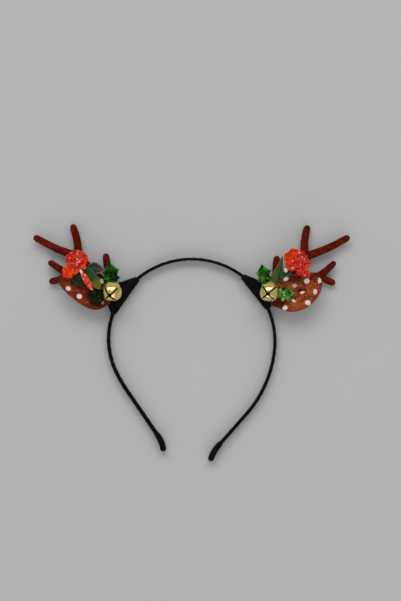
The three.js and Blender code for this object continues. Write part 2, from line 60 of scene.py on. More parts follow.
def smoothTable(places, values, at):  # smooth curve through a table of values
    places, values, at = (np.asarray(part, dtype=float) for part in (places, values, at))
    slopes = np.gradient(values, places)
    k = np.clip(np.searchsorted(places, at) - 1, 0, len(places) - 2)
    gap = places[k + 1] - places[k]
    t = (at - places[k]) / gap
    start = (1 + 2 * t) * (1 - t) ** 2 * values[k] + t * (1 - t) ** 2 * gap * slopes[k]
    return start + t * t * (3 - 2 * t) * values[k + 1] + t * t * (t - 1) * gap * slopes[k + 1]


def unit(vectors):
    return vectors / np.maximum(np.linalg.norm(vectors, axis=-1, keepdims=True), 1e-9)


def walked(points):  # distance along a path, at each of its points
    return np.concatenate([[0], np.cumsum(np.linalg.norm(np.diff(points, axis=0), axis=1))])


def pathThrough(points, count):  # even smooth path through a few points
    points = np.asarray(points, dtype=float)
    steps = walked(points)
    at = np.linspace(0, steps[-1], count)
    return np.stack([smoothTable(steps, points[:, axis], at) for axis in range(3)], axis=1)


def wobble(points, size, seed):  # soft noise from -1 to 1 at each point, size in mm
    shift = Vector([seed * step for step in noiseStep])
    flat = np.asarray(points).reshape(-1, 3) / size
    return np.array([noise.noise(Vector(p) + shift) for p in flat]).reshape(np.asarray(points).shape[:-1])


def placed(name, data):  # new object at the origin
    piece = bpy.data.objects.new(name, data)
    bpy.context.collection.objects.link(piece)
    return piece


def edited(mesh, *steps):  # each step works on the mesh's corners and faces
    shell = bmesh.new()
    shell.from_mesh(mesh)
    for step in steps:
        step(shell)
    shell.to_mesh(mesh)
    shell.free()


def built(name, shape):  # object from a shape that was put together step by step
    mesh = bpy.data.meshes.new(name)
    shape.to_mesh(mesh)
    shape.free()
    return placed(name, mesh)


def makePiece(name, points, faces, finish, way=None, fields=None):
    mesh = bpy.data.meshes.new(name)
    mesh.from_pydata(toFrame(points).tolist(), [], faces)
    if way is None:
        edited(mesh, lambda shell: bmesh.ops.recalc_face_normals(shell, faces=shell.faces))
    else:  # sheets already face outwards
        corners = np.empty(len(mesh.loops), dtype=np.int32)
        mesh.loops.foreach_get("vertex_index", corners)
        layer = mesh.uv_layers.new(name="way")
        layer.data.foreach_set("uv", np.asarray(way, dtype=np.float32)[corners].ravel())
    for label, values in (fields or {}).items():
        mesh.attributes.new(label, "FLOAT", "POINT").data.foreach_set("value", np.ravel(values).astype(np.float32))
    mesh.shade_smooth()
    mesh.materials.append(finish)
    return placed(name, mesh)


def tubeParts(rings):  # closed tube through rings, ends drawn to their middles
    rings = np.asarray(rings, dtype=float)
    count, around = rings.shape[:2]
    points = np.concatenate([rings.reshape(-1, 3), rings[[0, -1]].mean(axis=1)])
    faces = []
    for row in range(count - 1):
        for k in range(around):
            a, b = row * around + k, row * around + (k + 1) % around
            faces.append((a, b, b + around, a + around))
    first, last = len(points) - 2, len(points) - 1
    top = (count - 1) * around
    for k in range(around):
        after = (k + 1) % around
        faces.append((first, after, k))
        faces.append((last, top + k, top + after))
    return points, faces


def roundRings(line, radius, across, sides):  # rings of a round tube along a line
    up = np.cross(across, unit(np.gradient(line, axis=0)))
    turns = np.linspace(0, 2 * math.pi, sides, endpoint=False)[None, :, None]
    return line[:, None] + radius * (across[:, None] * np.cos(turns) + up[:, None] * np.sin(turns))


def sheetGrid(shape):  # u from base to tip, v from edge to edge
    return np.meshgrid(np.linspace(0, 1, shape["rows"]), np.linspace(-1, 1, shape["columns"]), indexing="ij")


def sheetParts(middle, wall):  # closed sheet with a rounded rim about a grid of middle points
    middle = np.asarray(middle, dtype=float)
    rows, columns = middle.shape[:2]
    wall = np.broadcast_to(np.asarray(wall, dtype=float), (rows, columns))[..., None]
    normal = unit(np.cross(np.gradient(middle, axis=0), np.gradient(middle, axis=1)))
    index = np.arange(rows * columns).reshape(rows, columns)
    edge = np.concatenate([index[0, :-1], index[:-1, -1], index[-1, :0:-1], index[:0:-1, 0]])
    near = np.pad(index[1:-1, 1:-1], 1, mode="edge").ravel()[edge]
    flat = middle.reshape(-1, 3)
    out = unit(flat[edge] - flat[near]) * wall.reshape(-1, 1)[edge] * rimShare
    points = np.concatenate([
        (middle + normal * wall / 2).reshape(-1, 3), (middle - normal * wall / 2).reshape(-1, 3), flat[edge] + out,
    ])
    total = rows * columns
    faces = []
    for row in range(rows - 1):
        for k in range(columns - 1):
            a = index[row, k]
            faces.append((a, a + columns, a + columns + 1, a + 1))
            faces.append((a + total, a + total + 1, a + total + columns + 1, a + total + columns))
    count = len(edge)
    for k in range(count):
        a, b = edge[k], edge[(k + 1) % count]
        rimA, rimB = 2 * total + k, 2 * total + (k + 1) % count
        faces.append((a, b, rimB, rimA))
        faces.append((rimA, rimB, b + total, a + total))
    return points, [tuple(int(c) for c in face) for face in faces], edge


def sheetWay(middle):  # millimetres along and across the sheet, for weave and veins
    along = np.linalg.norm(np.diff(middle, axis=0), axis=2)
    along = np.concatenate([np.zeros((1, middle.shape[1])), np.cumsum(along, axis=0)])
    across = np.linalg.norm(np.diff(middle, axis=1), axis=2)
    across = np.concatenate([np.zeros((middle.shape[0], 1)), np.cumsum(across, axis=1)], axis=1)
    return np.stack([along, across - across[:, -1:] / 2], axis=2)


def sheetPiece(name, grids, finish, wall):  # one or more sheets in one mesh, each (middle, fields)
    allPoints, allFaces, allWay, allFields, start = [], [], [], {}, 0
    for middle, fields in grids:
        points, faces, edge = sheetParts(middle, wall)
        pick = np.concatenate([np.arange(middle.shape[0] * middle.shape[1])] * 2 + [edge])
        allPoints.append(points)
        allFaces += [tuple(c + start for c in face) for face in faces]
        allWay.append(sheetWay(middle).reshape(-1, 2)[pick])
        for label, values in fields.items():
            allFields.setdefault(label, []).append(np.ravel(values)[pick])
        start += len(points)
    fields = {label: np.concatenate(parts) for label, parts in allFields.items()}
    return makePiece(name, np.concatenate(allPoints), allFaces, finish, np.concatenate(allWay), fields)


def cadCopy(name, node):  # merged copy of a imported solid, as a start for a softer shape
    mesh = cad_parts[node].data.copy()
    mesh.name = name
    mesh.materials.clear()
    edited(mesh, lambda shell: bmesh.ops.remove_doubles(shell, verts=shell.verts, dist=weld))
    return placed(name, mesh)


def evaluated(piece):  # plain mesh of a piece with its modifiers
    graph = bpy.context.evaluated_depsgraph_get()
    return bpy.data.meshes.new_from_object(piece.evaluated_get(graph), depsgraph=graph)


def applied(piece):  # turn live modifiers into plain mesh
    mesh, old = evaluated(piece), piece.data
    piece.modifiers.clear()
    piece.data = mesh
    bpy.data.meshes.remove(old)
    mesh.name = piece.name


def softened(piece, voxel, passes):  # remesh and smooth, millimetre voxels
    remesh = piece.modifiers.new("remesh", "REMESH")
    remesh.mode, remesh.voxel_size = "VOXEL", voxel * mm
    smooth = piece.modifiers.new("smooth", "SMOOTH")
    smooth.factor, smooth.iterations = 0.5, passes
    applied(piece)
    piece.data.shade_smooth()
    return piece


def reshaped(piece, points, finish):  # new places for a piece's corners
    piece.data.vertices.foreach_set("co", points.ravel())
    piece.data.update()
    piece.data.materials.append(finish)


def settle(piece, slot, *nodes):  # hang a finished piece on the frame
    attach(piece, "root")
    if nodes:
        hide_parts(*nodes)
    print("made", piece.name, len(piece.data.polygons), "faces")


# Finishes
def tint(red, green, blue):  # screen colour to shader colour
    levels = [level / 255 for level in (red, green, blue)]
    return tuple(level / 12.92 if level < 0.04045 else ((level + 0.055) / 1.055) ** 2.4 for level in levels) + (1.0,)


def newFinish(name, constants):
    finish = bpy.data.materials.new(name)
    finish.use_nodes = True
    shader = finish.node_tree.nodes["Principled BSDF"]
    for socket, value in constants.items():
        shader.inputs[socket].default_value = value
    return finish, finish.node_tree, shader


def addNode(tree, kind, settings=None, inputs=None):  # an input is another node's output or a plain value
    made = tree.nodes.new(kind)
    for key, value in (settings or {}).items():
        setattr(made, key, value)
    for key, value in (inputs or {}).items():
        if isinstance(value, bpy.types.NodeSocket):
            tree.links.new(value, made.inputs[key])
        else:
            made.inputs[key].default_value = value
    return made


def place(tree):
    return addNode(tree, "ShaderNodeTexCoord").outputs["Object"]


def cloud(tree, size, detail=3.0, rough=0.55):  # noise, size in mm
    inputs = {"Vector": place(tree), "Scale": 1 / (size * mm), "Detail": detail, "Roughness": rough}
    return addNode(tree, "ShaderNodeTexNoise", inputs=inputs).outputs["Fac"]


def strokesOn(tree, scale, **turned):  # fine noise drawn out along one way
    way = addNode(tree, "ShaderNodeMapping", inputs={"Vector": place(tree), **turned}).outputs[0]
    inputs = {"Vector": way, "Scale": scale, "Detail": 4.0, "Roughness": 0.7}
    return addNode(tree, "ShaderNodeTexNoise", inputs=inputs).outputs["Fac"]


def cells(tree, scale, feature="F1"):  # small flat fields, like crumpled foil
    inputs = {"Vector": place(tree), "Scale": scale}
    return addNode(tree, "ShaderNodeTexVoronoi", {"feature": feature}, inputs)


def cellShade(tree, made):  # one chance value for each field
    return addNode(tree, "ShaderNodeSeparateColor", inputs={"Color": made.outputs["Color"]}).outputs["Red"]


def ramp(tree, factor, stops):
    made = addNode(tree, "ShaderNodeValToRGB", inputs={"Fac": factor})
    made.color_ramp.elements[0].position, made.color_ramp.elements[0].color = stops[0]
    made.color_ramp.elements[1].position, made.color_ramp.elements[1].color = stops[-1]
    for position, colour in stops[1:-1]:
        made.color_ramp.elements.new(position).color = colour
    return made.outputs["Color"]


def span(tree, value, fromLow, fromHigh, toLow, toHigh):
    inputs = {"Value": value, "From Min": fromLow, "From Max": fromHigh, "To Min": toLow, "To Max": toHigh}
    return addNode(tree, "ShaderNodeMapRange", inputs=inputs).outputs["Result"]


def mixed(tree, factor, first, second):
    inputs = {"Factor": factor, 6: first, 7: second}  # the mix node's colour sockets
    return addNode(tree, "ShaderNodeMix", {"data_type": "RGBA"}, inputs).outputs[2]


def layered(tree, colour, layers):  # each layer: a value, its range, the share at both ends of it, and a colour
    for value, low, high, atLow, atHigh, over in layers:
        colour = mixed(tree, span(tree, value, low, high, atLow, atHigh), colour, over)
    return colour


def added(tree, first, second):
    return addNode(tree, "ShaderNodeMath", {"operation": "ADD"}, {0: first, 1: second}).outputs["Value"]


def field(tree, label):
    return addNode(tree, "ShaderNodeAttribute", {"attribute_name": label}).outputs["Fac"]


def dress(tree, shader, colour, rough, height, depth, strength):  # relief of a height from 0 to 1, depth in mm
    inputs = {"Height": height, "Distance": depth * mm, "Strength": strength}
    relief = addNode(tree, "ShaderNodeBump", inputs=inputs).outputs["Normal"]
    for socket, value in (("Base Color", colour), ("Roughness", rough), ("Normal", relief)):
        tree.links.new(value, shader.inputs[socket])


def satinFinish():
    finish, tree, shader = newFinish("blackSatin", {
        "Specular IOR Level": 0.06, "Sheen Weight": 0.02, "Sheen Roughness": 0.4, "Anisotropic": 0.4,
    })
    threads = addNode(tree, "ShaderNodeTexWave", {"bands_direction": "Z"}, {
        "Vector": place(tree), "Scale": 900.0, "Distortion": 1.2, "Detail": 1.0,
    }).outputs["Fac"]
    worn = cloud(tree, 5.0)
    colour = ramp(tree, worn, [(0.3, tint(7, 7, 8)), (0.75, tint(13, 13, 14))])
    dress(tree, shader, colour, span(tree, worn, 0.2, 0.8, 0.38, 0.56), threads, 0.03, 0.5)
    return finish


def feltFinish():
    finish, tree, shader = newFinish("blackFelt", {
        "Specular IOR Level": 0.05, "Sheen Weight": 0.06, "Sheen Roughness": 0.6, "Sheen Tint": (0.5, 0.5, 0.55, 1.0),
    })
    fluff = cloud(tree, 0.35, 5.0, 0.7)
    colour = ramp(tree, cloud(tree, 4.0), [(0.3, tint(9, 9, 10)), (0.75, tint(22, 21, 24))])
    dress(tree, shader, colour, span(tree, fluff, 0.2, 0.8, 0.8, 1.0), fluff, 0.35, 0.8)
    return finish


def flockFinish():
    finish, tree, shader = newFinish("brownFlock", {
        "Specular IOR Level": 0.04, "Sheen Weight": 0.06, "Sheen Roughness": 0.5, "Sheen Tint": (0.5, 0.1, 0.04, 1.0),
    })
    nap = cloud(tree, 0.3, 4.0, 0.7)
    colour = ramp(tree, cloud(tree, 3.0), [
        (0.32, tint(78, 17, 8)), (0.5, tint(106, 27, 12)), (0.68, tint(136, 44, 21)),
    ])
    colour = layered(tree, colour, [(nap, 0.3, 0.7, 0.35, 0.0, tint(60, 12, 5))])
    dress(tree, shader, colour, span(tree, nap, 0.2, 0.8, 0.72, 0.95), nap, 0.15, 0.7)
    return finish


def earFinish(name, dark, middle, light):
    finish, tree, shader = newFinish(name, {
        "Specular IOR Level": 0.05, "Sheen Weight": 0.1, "Sheen Roughness": 0.45, "Sheen Tint": (0.8, 0.4, 0.2, 1.0),
    })
    pile, lay, flecks = cloud(tree, 0.4, 4.0, 0.65), cloud(tree, 4.0, 5.0, 0.65), cloud(tree, 1.6, 3.0, 0.6)
    strokes, shade = strokesOn(tree, 260.0, Scale=(1.0, 3.0, 1.0)), field(tree, "shade")
    # the shade field paints shade in the cup, the creases and under the flower, and below 0 paints light where the
    # cloth faces up
    colour = layered(tree, ramp(tree, lay, [(0.38, dark), (0.5, middle), (0.62, light)]), [
        (strokes, 0.45, 0.62, 0.0, 0.6, light), (flecks, 0.41, 0.48, 0.8, 0.0, dark),
        (flecks, 0.53, 0.6, 0.0, 0.8, light), (pile, 0.3, 0.55, 0.4, 0.0, dark), (shade, 0.0, 1.0, 0.0, 0.85, dark),
        (shade, 0.0, -1.0, 0.0, 0.6, light), (field(tree, "hem"), 0.2, 1.2, 0.4, 0.0, middle),
    ])
    cream = ramp(tree, lay, [(0.3, tint(246, 234, 226)), (0.7, tint(255, 252, 250))])
    # painted shade: dots that lie in shade are dimmed towards the middle brown
    cream = mixed(tree, field(tree, "dotDim"), cream, middle)
    fuzzyEdge = added(tree, field(tree, "dotGap"), span(tree, pile, 0.2, 0.8, -0.35, 0.35))
    colour = layered(tree, colour, [(fuzzyEdge, -0.25, 0.25, 1.0, 0.0, cream)])
    dress(tree, shader, colour, span(tree, pile, 0.2, 0.8, 0.7, 0.95), pile, 0.3, 0.5)
    return finish


def goldFinish():
    finish, tree, shader = newFinish("goldPlate", {"Metallic": 1.0})
    stain = cloud(tree, 2.5, 5.0)
    scratch = strokesOn(tree, 500.0, Rotation=(0.4, 0.3, 0.7), Scale=(1.0, 14.0, 1.0))
    colour = ramp(tree, stain, [
        (0.25, tint(240, 210, 122)), (0.6, tint(251, 226, 144)), (0.85, tint(254, 236, 168)),
    ])
    dress(tree, shader, colour, span(tree, stain, 0.25, 0.8, 0.12, 0.24), scratch, 0.015, 0.5)
    return finish


def hollyFinish(name, deep, lit, glint):
    finish, tree, shader = newFinish(name, {
        "Metallic": 0.5, "Specular IOR Level": 0.12, "Coat Weight": 0.05, "Coat Roughness": 0.12,
    })
    crumple = cells(tree, 420.0, "SMOOTH_F1").outputs["Distance"]
    grain, facet = cellShade(tree, cells(tree, 1100.0)), cellShade(tree, cells(tree, 430.0))
    # painted light and shade on the foil: facets are darkened and lightened by chance, and the brightest facets and
    # finest cells get painted glints
    colour = layered(tree, ramp(tree, cloud(tree, 3.0), [(0.3, deep), (0.75, lit)]), [
        (facet, 0.1, 0.5, 0.75, 0.0, tint(2, 16, 3)), (facet, 0.6, 0.95, 0.0, 0.75, lit),
        (facet, 0.84, 0.97, 0.0, 0.6, glint), (grain, 0.9, 0.98, 0.0, 0.5, glint),
    ])
    height = added(tree, crumple, span(tree, grain, 0.0, 1.0, 0.0, 0.25))
    dress(tree, shader, colour, span(tree, grain, 0.0, 1.0, 0.14, 0.4), height, 0.6, 0.9)
    return finish


def leafFinish(name, deep, lit, rimTint, tipTint, farTint):
    finish, tree, shader = newFinish(name, {"Specular IOR Level": 0.1, "Sheen Weight": 0.05, "Sheen Roughness": 0.4})
    way = addNode(tree, "ShaderNodeUVMap", {"uv_map": "way"}).outputs["UV"]
    weave = addNode(tree, "ShaderNodeTexChecker", inputs={"Vector": way, "Scale": 2.6}).outputs["Fac"]
    patchy = cloud(tree, 3.5)
    colour = layered(tree, ramp(tree, patchy, [(0.3, deep), (0.72, lit)]), [
        (field(tree, "farHalf"), -0.12, 0.12, 0.0, 0.8, farTint),
        (field(tree, "tipward"), 0.5, 0.75, 0.0, 0.85, tipTint),
        (field(tree, "vein"), 0.0, 1.0, 0.0, 0.35, rimTint), (field(tree, "rim"), 0.0, 0.9, 0.7, 0.0, rimTint),
    ])
    dress(tree, shader, colour, span(tree, patchy, 0.3, 0.7, 0.5, 0.7), weave, 0.08, 0.5)
    return finish


def petalFinish():
    finish, tree, shader = newFinish("orangePetal", {
        "Specular IOR Level": 0.12, "Sheen Weight": 0.03, "Subsurface Weight": 0.12,
        "Subsurface Radius": (1.5 * mm, 0.5 * mm, 0.2 * mm), "Subsurface Scale": 1.0,
    })
    crepe = cloud(tree, 0.5, 3.0)
    colour = ramp(tree, cloud(tree, 1.7, 4.0), [
        (0.36, tint(200, 18, 5)), (0.5, tint(250, 54, 14)), (0.64, tint(255, 120, 46)),
    ])
    # painted shade, darker towards each petal's root where the petals crowd at the middle
    colour = layered(tree, colour, [(field(tree, "heart"), 0.0, 1.0, 0.0, 0.8, tint(170, 12, 6))])
    dress(tree, shader, colour, span(tree, crepe, 0.2, 0.8, 0.4, 0.65), crepe, 0.12, 0.6)
    return finish


def beadFinish(name, stops):
    finish, tree, shader = newFinish(name, {"Coat Weight": 0.1, "Coat Roughness": 0.05, "Specular IOR Level": 0.2})
    glaze = cloud(tree, 0.5)
    colour = ramp(tree, field(tree, "beadTone"), stops)
    colour = layered(tree, colour, [(glaze, 0.4, 0.7, 0.0, 0.15, tint(150, 8, 4))])
    dress(tree, shader, colour, span(tree, glaze, 0.2, 0.8, 0.14, 0.3), glaze, 0.03, 0.4)
    return finish


def mottledFinish(name, dark, light):
    finish, tree, shader = newFinish(name, {"Specular IOR Level": 0.5, "Coat Weight": 0.2})
    mottle = cloud(tree, 1.0)
    colour = ramp(tree, mottle, [(0.3, dark), (0.7, light)])
    dress(tree, shader, colour, span(tree, mottle, 0.2, 0.8, 0.3, 0.55), mottle, 0.1, 0.5)
    return finish


def floorFinish():
    finish, tree, shader = newFinish("paleFloor", {"Roughness": 0.9, "Specular IOR Level": 0.1})
    colour = ramp(tree, cloud(tree, 160.0), [(0.3, (0.60, 0.60, 0.607, 1)), (0.7, (0.615, 0.615, 0.622, 1))])
    tree.links.new(colour, shader.inputs["Base Color"])
    return finish


blackSatin = satinFinish()
blackFelt = feltFinish()
brownFlock = flockFinish()
goldPlate = goldFinish()
bellInside = mottledFinish("bellInside", tint(20, 14, 6), tint(58, 44, 20))
# the beads' own reds and oranges, and at the top of the ramp pale tones that are painted sparkle highlights
redBeads = beadFinish("redBeads", [
    (0.0, tint(172, 6, 4)), (0.4, tint(238, 24, 8)), (0.68, tint(255, 70, 26)), (0.82, tint(255, 120, 84)),
    (0.96, tint(255, 206, 184)),
])
# the pod beads' own reds and oranges, and at the top of the ramp a pale tone that is a painted sparkle highlight
podBeads = beadFinish("podBeads", [
    (0.0, tint(240, 30, 10)), (0.5, tint(255, 70, 30)), (0.72, tint(255, 120, 72)), (0.9, tint(255, 240, 214)),
])
orangePetal = petalFinish()
whitePip = mottledFinish("whitePip", tint(214, 206, 204), tint(246, 244, 242))
darkHeart = mottledFinish("darkHeart", tint(168, 12, 5), tint(214, 36, 14))
podHeart = mottledFinish("podHeart", tint(206, 26, 10), tint(240, 56, 22))
print("finishes ready")


# Scatter trees: grains or fibres on a bed
strewn = {"swell": (0.8, 1.15), "lean": (0.5, 0.5, 3.1), "toneSeed": 5, "beadRounds": 2, "fibreSides": 3}


def newTree(name, asked):  # geometry tree with named inputs
    tree = bpy.data.node_groups.new(name, "GeometryNodeTree")
    tree.interface.new_socket("Geometry", in_out="INPUT", socket_type="NodeSocketGeometry")
    for label, kind in asked.items():
        tree.interface.new_socket(label, in_out="INPUT", socket_type="NodeSocket" + kind)
    tree.interface.new_socket("Geometry", in_out="OUTPUT", socket_type="NodeSocketGeometry")
    return tree, addNode(tree, "NodeGroupInput").outputs


def closeTree(tree, instances, finish):
    whole = addNode(tree, "GeometryNodeRealizeInstances", inputs={"Geometry": instances})
    done = addNode(tree, "GeometryNodeSetMaterial", inputs={"Geometry": whole.outputs[0], "Material": finish})
    addNode(tree, "NodeGroupOutput", inputs={"Geometry": done.outputs[0]})
    return tree


def scatterTree(name, fibres):
    asked = {"Spacing": "Float", "Density": "Float", "Size": "Float", "Lowest": "Float", "Seed": "Int",
             "Finish": "Material"}
    tree, given = newTree(name, {**asked, "Length": "Float"} if fibres else asked)
    spot = addNode(tree, "GeometryNodeInputPosition").outputs[0]
    height = addNode(tree, "ShaderNodeSeparateXYZ", inputs={"Vector": spot}).outputs["Z"]
    clear = addNode(tree, "FunctionNodeCompare", {"operation": "GREATER_THAN"}, {"A": height, "B": given["Lowest"]})
    spread = addNode(tree, "GeometryNodeDistributePointsOnFaces", {"distribute_method": "POISSON"}, {
        "Mesh": given["Geometry"], "Distance Min": given["Spacing"], "Density Max": given["Density"],
        "Selection": clear.outputs[0], "Seed": given["Seed"],
    })
    if fibres:
        grain = addNode(tree, "GeometryNodeMeshCone", {"fill_type": "NGON"}, {
            "Vertices": strewn["fibreSides"], "Radius Top": 0.0, "Radius Bottom": given["Size"],
            "Depth": given["Length"],
        }).outputs["Mesh"]
    else:
        ball = addNode(tree, "GeometryNodeMeshIcoSphere", inputs={
            "Radius": given["Size"], "Subdivisions": strewn["beadRounds"],
        })
        grain = addNode(tree, "GeometryNodeSetShadeSmooth", inputs={"Geometry": ball.outputs["Mesh"]}).outputs[0]
    least, most = strewn["swell"]
    swell = addNode(tree, "FunctionNodeRandomValue", {"data_type": "FLOAT"}, {
        2: least, 3: most, "Seed": given["Seed"],
    })
    lean = addNode(tree, "FunctionNodeRandomValue", {"data_type": "FLOAT_VECTOR"}, {
        0: [-angle for angle in strewn["lean"]], 1: strewn["lean"], "Seed": given["Seed"],
    })
    leaning = addNode(tree, "FunctionNodeEulerToRotation", inputs={"Euler": lean.outputs[0]})
    turned = addNode(tree, "FunctionNodeRotateRotation", {"rotation_space": "LOCAL"}, {
        "Rotation": spread.outputs["Rotation"], "Rotate By": leaning.outputs[0],
    })
    grains = addNode(tree, "GeometryNodeInstanceOnPoints", inputs={
        "Points": spread.outputs["Points"], "Instance": grain, "Rotation": turned.outputs[0],
        "Scale": swell.outputs[1],
    })
    tone = addNode(tree, "FunctionNodeRandomValue", {"data_type": "FLOAT"}, {"Seed": strewn["toneSeed"]})
    toned = addNode(tree, "GeometryNodeStoreNamedAttribute", {"data_type": "FLOAT", "domain": "INSTANCE"}, {
        "Geometry": grains.outputs[0], "Name": "beadTone", "Value": tone.outputs[1],
    })
    return closeTree(tree, toned.outputs[0], given["Finish"])


def scatterOn(bed, name, tree, values):  # plain mesh of everything the tree strews on the bed
    modifier = bed.modifiers.new(name, "NODES")
    modifier.node_group = tree
    for socket in tree.interface.items_tree:
        if socket.item_type == "SOCKET" and socket.in_out == "INPUT" and socket.name in values:
            modifier[socket.identifier] = values[socket.name]
    bed.update_tag()
    mesh = evaluated(bed)
    mesh.name = name
    bed.modifiers.remove(modifier)
    return placed(name, mesh)


beadTree = scatterTree("beadScatter", False)
flockTree = scatterTree("flockScatter", True)
print("scatter trees ready")


# Wound band
hoop = {
    "depth": 5.0, "thickness": {"crown": 2.2, "left": 3.2, "right": 2.75}, "corner": 0.6,
    "crownY": 30.7, "crownRadius": 62.5, "step": 0.5,
    # each bend is a radius and degrees, or 0 and a length
    "left": {"crown": 57.5, "bends": [(56, 58.5), (112, 8.5), (0, 39.4), (25, -29.5)]},
    "right": {"crown": 22.5, "bends": [(61, 74.5), (85.5, 34.5), (0, 30.5), (30, -26)]},
    "coreInset": 0.2, "coreSides": 28, "coreEvery": 3, "sleeveFloor": 5.0, "turnSides": 32, "turnRows": 9,
    "ribbonPitch": 6.0, "ribbonRise": 0.14, "ribbonSkew": 0.65, "ribbonLap": 1.06, "ribbonLining": (1, 0.8, 0.92),
}


def halfHoop(side):  # points walked from the crown to one end, x outwards
    points, turn, spot = [np.array([0.0, hoop["crownY"]])], 0.0, np.array([0.0, hoop["crownY"]])
    for radius, amount in [(hoop["crownRadius"], hoop[side]["crown"])] + hoop[side]["bends"]:
        if radius == 0:
            ahead = np.array([math.cos(turn), -math.sin(turn)])
            count = max(2, round(amount / hoop["step"]))
            points += [spot + ahead * amount * k / count for k in range(1, count + 1)]
        else:
            bend = math.radians(amount)
            signed = math.copysign(radius, bend)
            centre = spot - signed * np.array([math.sin(turn), math.cos(turn)])
            count = max(2, round(abs(bend) * radius / hoop["step"]))
            turns = turn + bend * np.arange(1, count + 1) / count
            points += [centre + signed * np.array([math.sin(a), math.cos(a)]) for a in turns]
            turn += bend
        spot = points[-1]
    return np.array(points)


def hoopPath():  # from the left end over the crown to the right end, with the thickness at each point
    left, right = halfHoop("left"), halfHoop("right")
    flat = np.concatenate([left[:0:-1] * [-1, 1], right])
    thick = hoop["thickness"]
    leftThick = np.linspace(thick["crown"], thick["left"], len(left))
    rightThick = np.linspace(thick["crown"], thick["right"], len(right))
    path = np.column_stack([flat, np.full(len(flat), drawing["bandZ"])])
    return path, np.concatenate([leftThick[:0:-1], rightThick])


def roundedOutline(width, height, corner, count):  # closed outline, the squarer the smaller its corners
    turns = np.linspace(0, 2 * math.pi, count, endpoint=False)
    squareness = 4.0 * (1 - min(1.0, 2.2 * corner / width))  # none where the corners take up the width
    power = 2 / (2.0 + squareness)
    x = np.sign(np.cos(turns)) * np.abs(np.cos(turns)) ** power * width / 2
    y = np.sign(np.sin(turns)) * np.abs(np.sin(turns)) ** power * height / 2
    return np.column_stack([x, y])


def sweptRings(path, outlines):  # outline x across the path in the level plane, y up
    ahead = unit(np.gradient(path, axis=0))
    across = unit(np.cross(ahead, [0, 0, 1]))
    up = np.cross(across, ahead)
    return path[:, None] + across[:, None] * outlines[:, :, :1] + up[:, None] * outlines[:, :, 1:]


def ribbonTree():  # one turn of ribbon at every pitch along the path
    tree, given = newTree("ribbonTurns", {"Pitch": "Float", "Turn": "Object", "Finish": "Material"})
    curve = addNode(tree, "GeometryNodeMeshToCurve", inputs={"Mesh": given["Geometry"]})
    stops = addNode(tree, "GeometryNodeCurveToPoints", {"mode": "LENGTH"}, {
        "Curve": curve.outputs[0], "Length": given["Pitch"],
    })
    facing = addNode(tree, "FunctionNodeAxesToRotation", {"primary_axis": "X", "secondary_axis": "Z"}, {
        "Primary Axis": stops.outputs["Tangent"], "Secondary Axis": (0.0, 0.0, 1.0),
    })
    turnShape = addNode(tree, "GeometryNodeObjectInfo", inputs={"Object": given["Turn"]})
    swell = addNode(tree, "GeometryNodeInputNamedAttribute", {"data_type": "FLOAT"}, {"Name": "swell"})
    widths = addNode(tree, "ShaderNodeCombineXYZ", inputs={"X": 1.0, "Y": swell.outputs["Attribute"], "Z": 1.0})
    turns = addNode(tree, "GeometryNodeInstanceOnPoints", inputs={
        "Points": stops.outputs["Points"], "Instance": turnShape.outputs["Geometry"], "Rotation": facing.outputs[0],
        "Scale": widths.outputs[0],
    })
    return closeTree(tree, turns.outputs[0], given["Finish"])


def ribbonTurn():  # one turn of ribbon, skewed as it winds and lapped over the turn before
    sides, thin = hoop["turnSides"], hoop["thickness"]["crown"]
    outer = []
    for share in np.linspace(-0.5, 0.5, hoop["turnRows"]):
        rise = 2 * hoop["ribbonRise"] * share
        outline = roundedOutline(thin + rise, hoop["depth"] + rise, hoop["corner"], sides)
        skew = hoop["ribbonSkew"] * outline[:, 0] / thin * np.sign(outline[:, 1] + 1e-6)
        reach = share * hoop["ribbonPitch"] * hoop["ribbonLap"]
        outer.append(np.column_stack([reach + skew, -outline[:, 0], outline[:, 1]]))
    loop = np.concatenate([outer, np.array(outer)[::-1] * hoop["ribbonLining"]])
    index = np.arange(len(loop) * sides).reshape(-1, sides)
    after = np.roll(index, -1, axis=0)
    corners = np.stack([after, np.roll(after, -1, axis=1), np.roll(index, -1, axis=1), index], axis=-1)
    mesh = bpy.data.meshes.new("ribbonTurn")
    mesh.from_pydata((loop.reshape(-1, 3) * mm).tolist(), [], corners.reshape(-1, 4).tolist())
    mesh.shade_smooth()
    return placed("ribbonTurn", mesh)


def makeBand():
    path, thick = hoopPath()
    steps = walked(path)
    inside = (steps > hoop["sleeveFloor"]) & (steps < steps[-1] - hoop["sleeveFloor"])
    thin, inset, every = hoop["thickness"]["crown"], hoop["coreInset"], hoop["coreEvery"]
    kept, swell = path[inside], thick[inside] / thin
    core = roundedOutline(thin - inset, hoop["depth"] - inset, hoop["corner"], hoop["coreSides"])
    outlines = core[None] * np.column_stack([swell, np.ones(len(swell))])[::every, None]
    band = makePiece("woundBand", *tubeParts(sweptRings(kept[::every], outlines)), blackSatin)
    settle(band, "satin_ribbon", "band")

    turn, wire = ribbonTurn(), bpy.data.meshes.new("ribbonPath")
    wire.from_pydata(toFrame(kept).tolist(), [(k, k + 1) for k in range(len(kept) - 1)], [])
    wire.attributes.new("swell", "FLOAT", "POINT").data.foreach_set("value", swell.astype(np.float32))
    rail = placed("ribbonPath", wire)
    ribbon = scatterOn(rail, "ribbonWinding", ribbonTree(), {
        "Pitch": hoop["ribbonPitch"] * mm, "Turn": turn, "Finish": blackSatin,
    })
    for helper in (rail, turn):
        bpy.data.objects.remove(helper)
    settle(ribbon, "satin_ribbon")
    return path


# Sleeves on the hoop's ends
sleeve = {
    "length": {"left": 15.2, "right": 16.2}, "width": 4.6, "height": 7.6, "corner": 1.5, "rows": 60, "sides": 32,
    "crease": 0.012, "creaseWaves": 46,
    "sizes": [
        (0, 0.76), (0.04, 0.82), (0.2, 0.92), (0.5, 0.99), (0.84, 1), (0.91, 0.94), (0.95, 0.77), (0.98, 0.5),
        (1, 0.14),
    ],
}


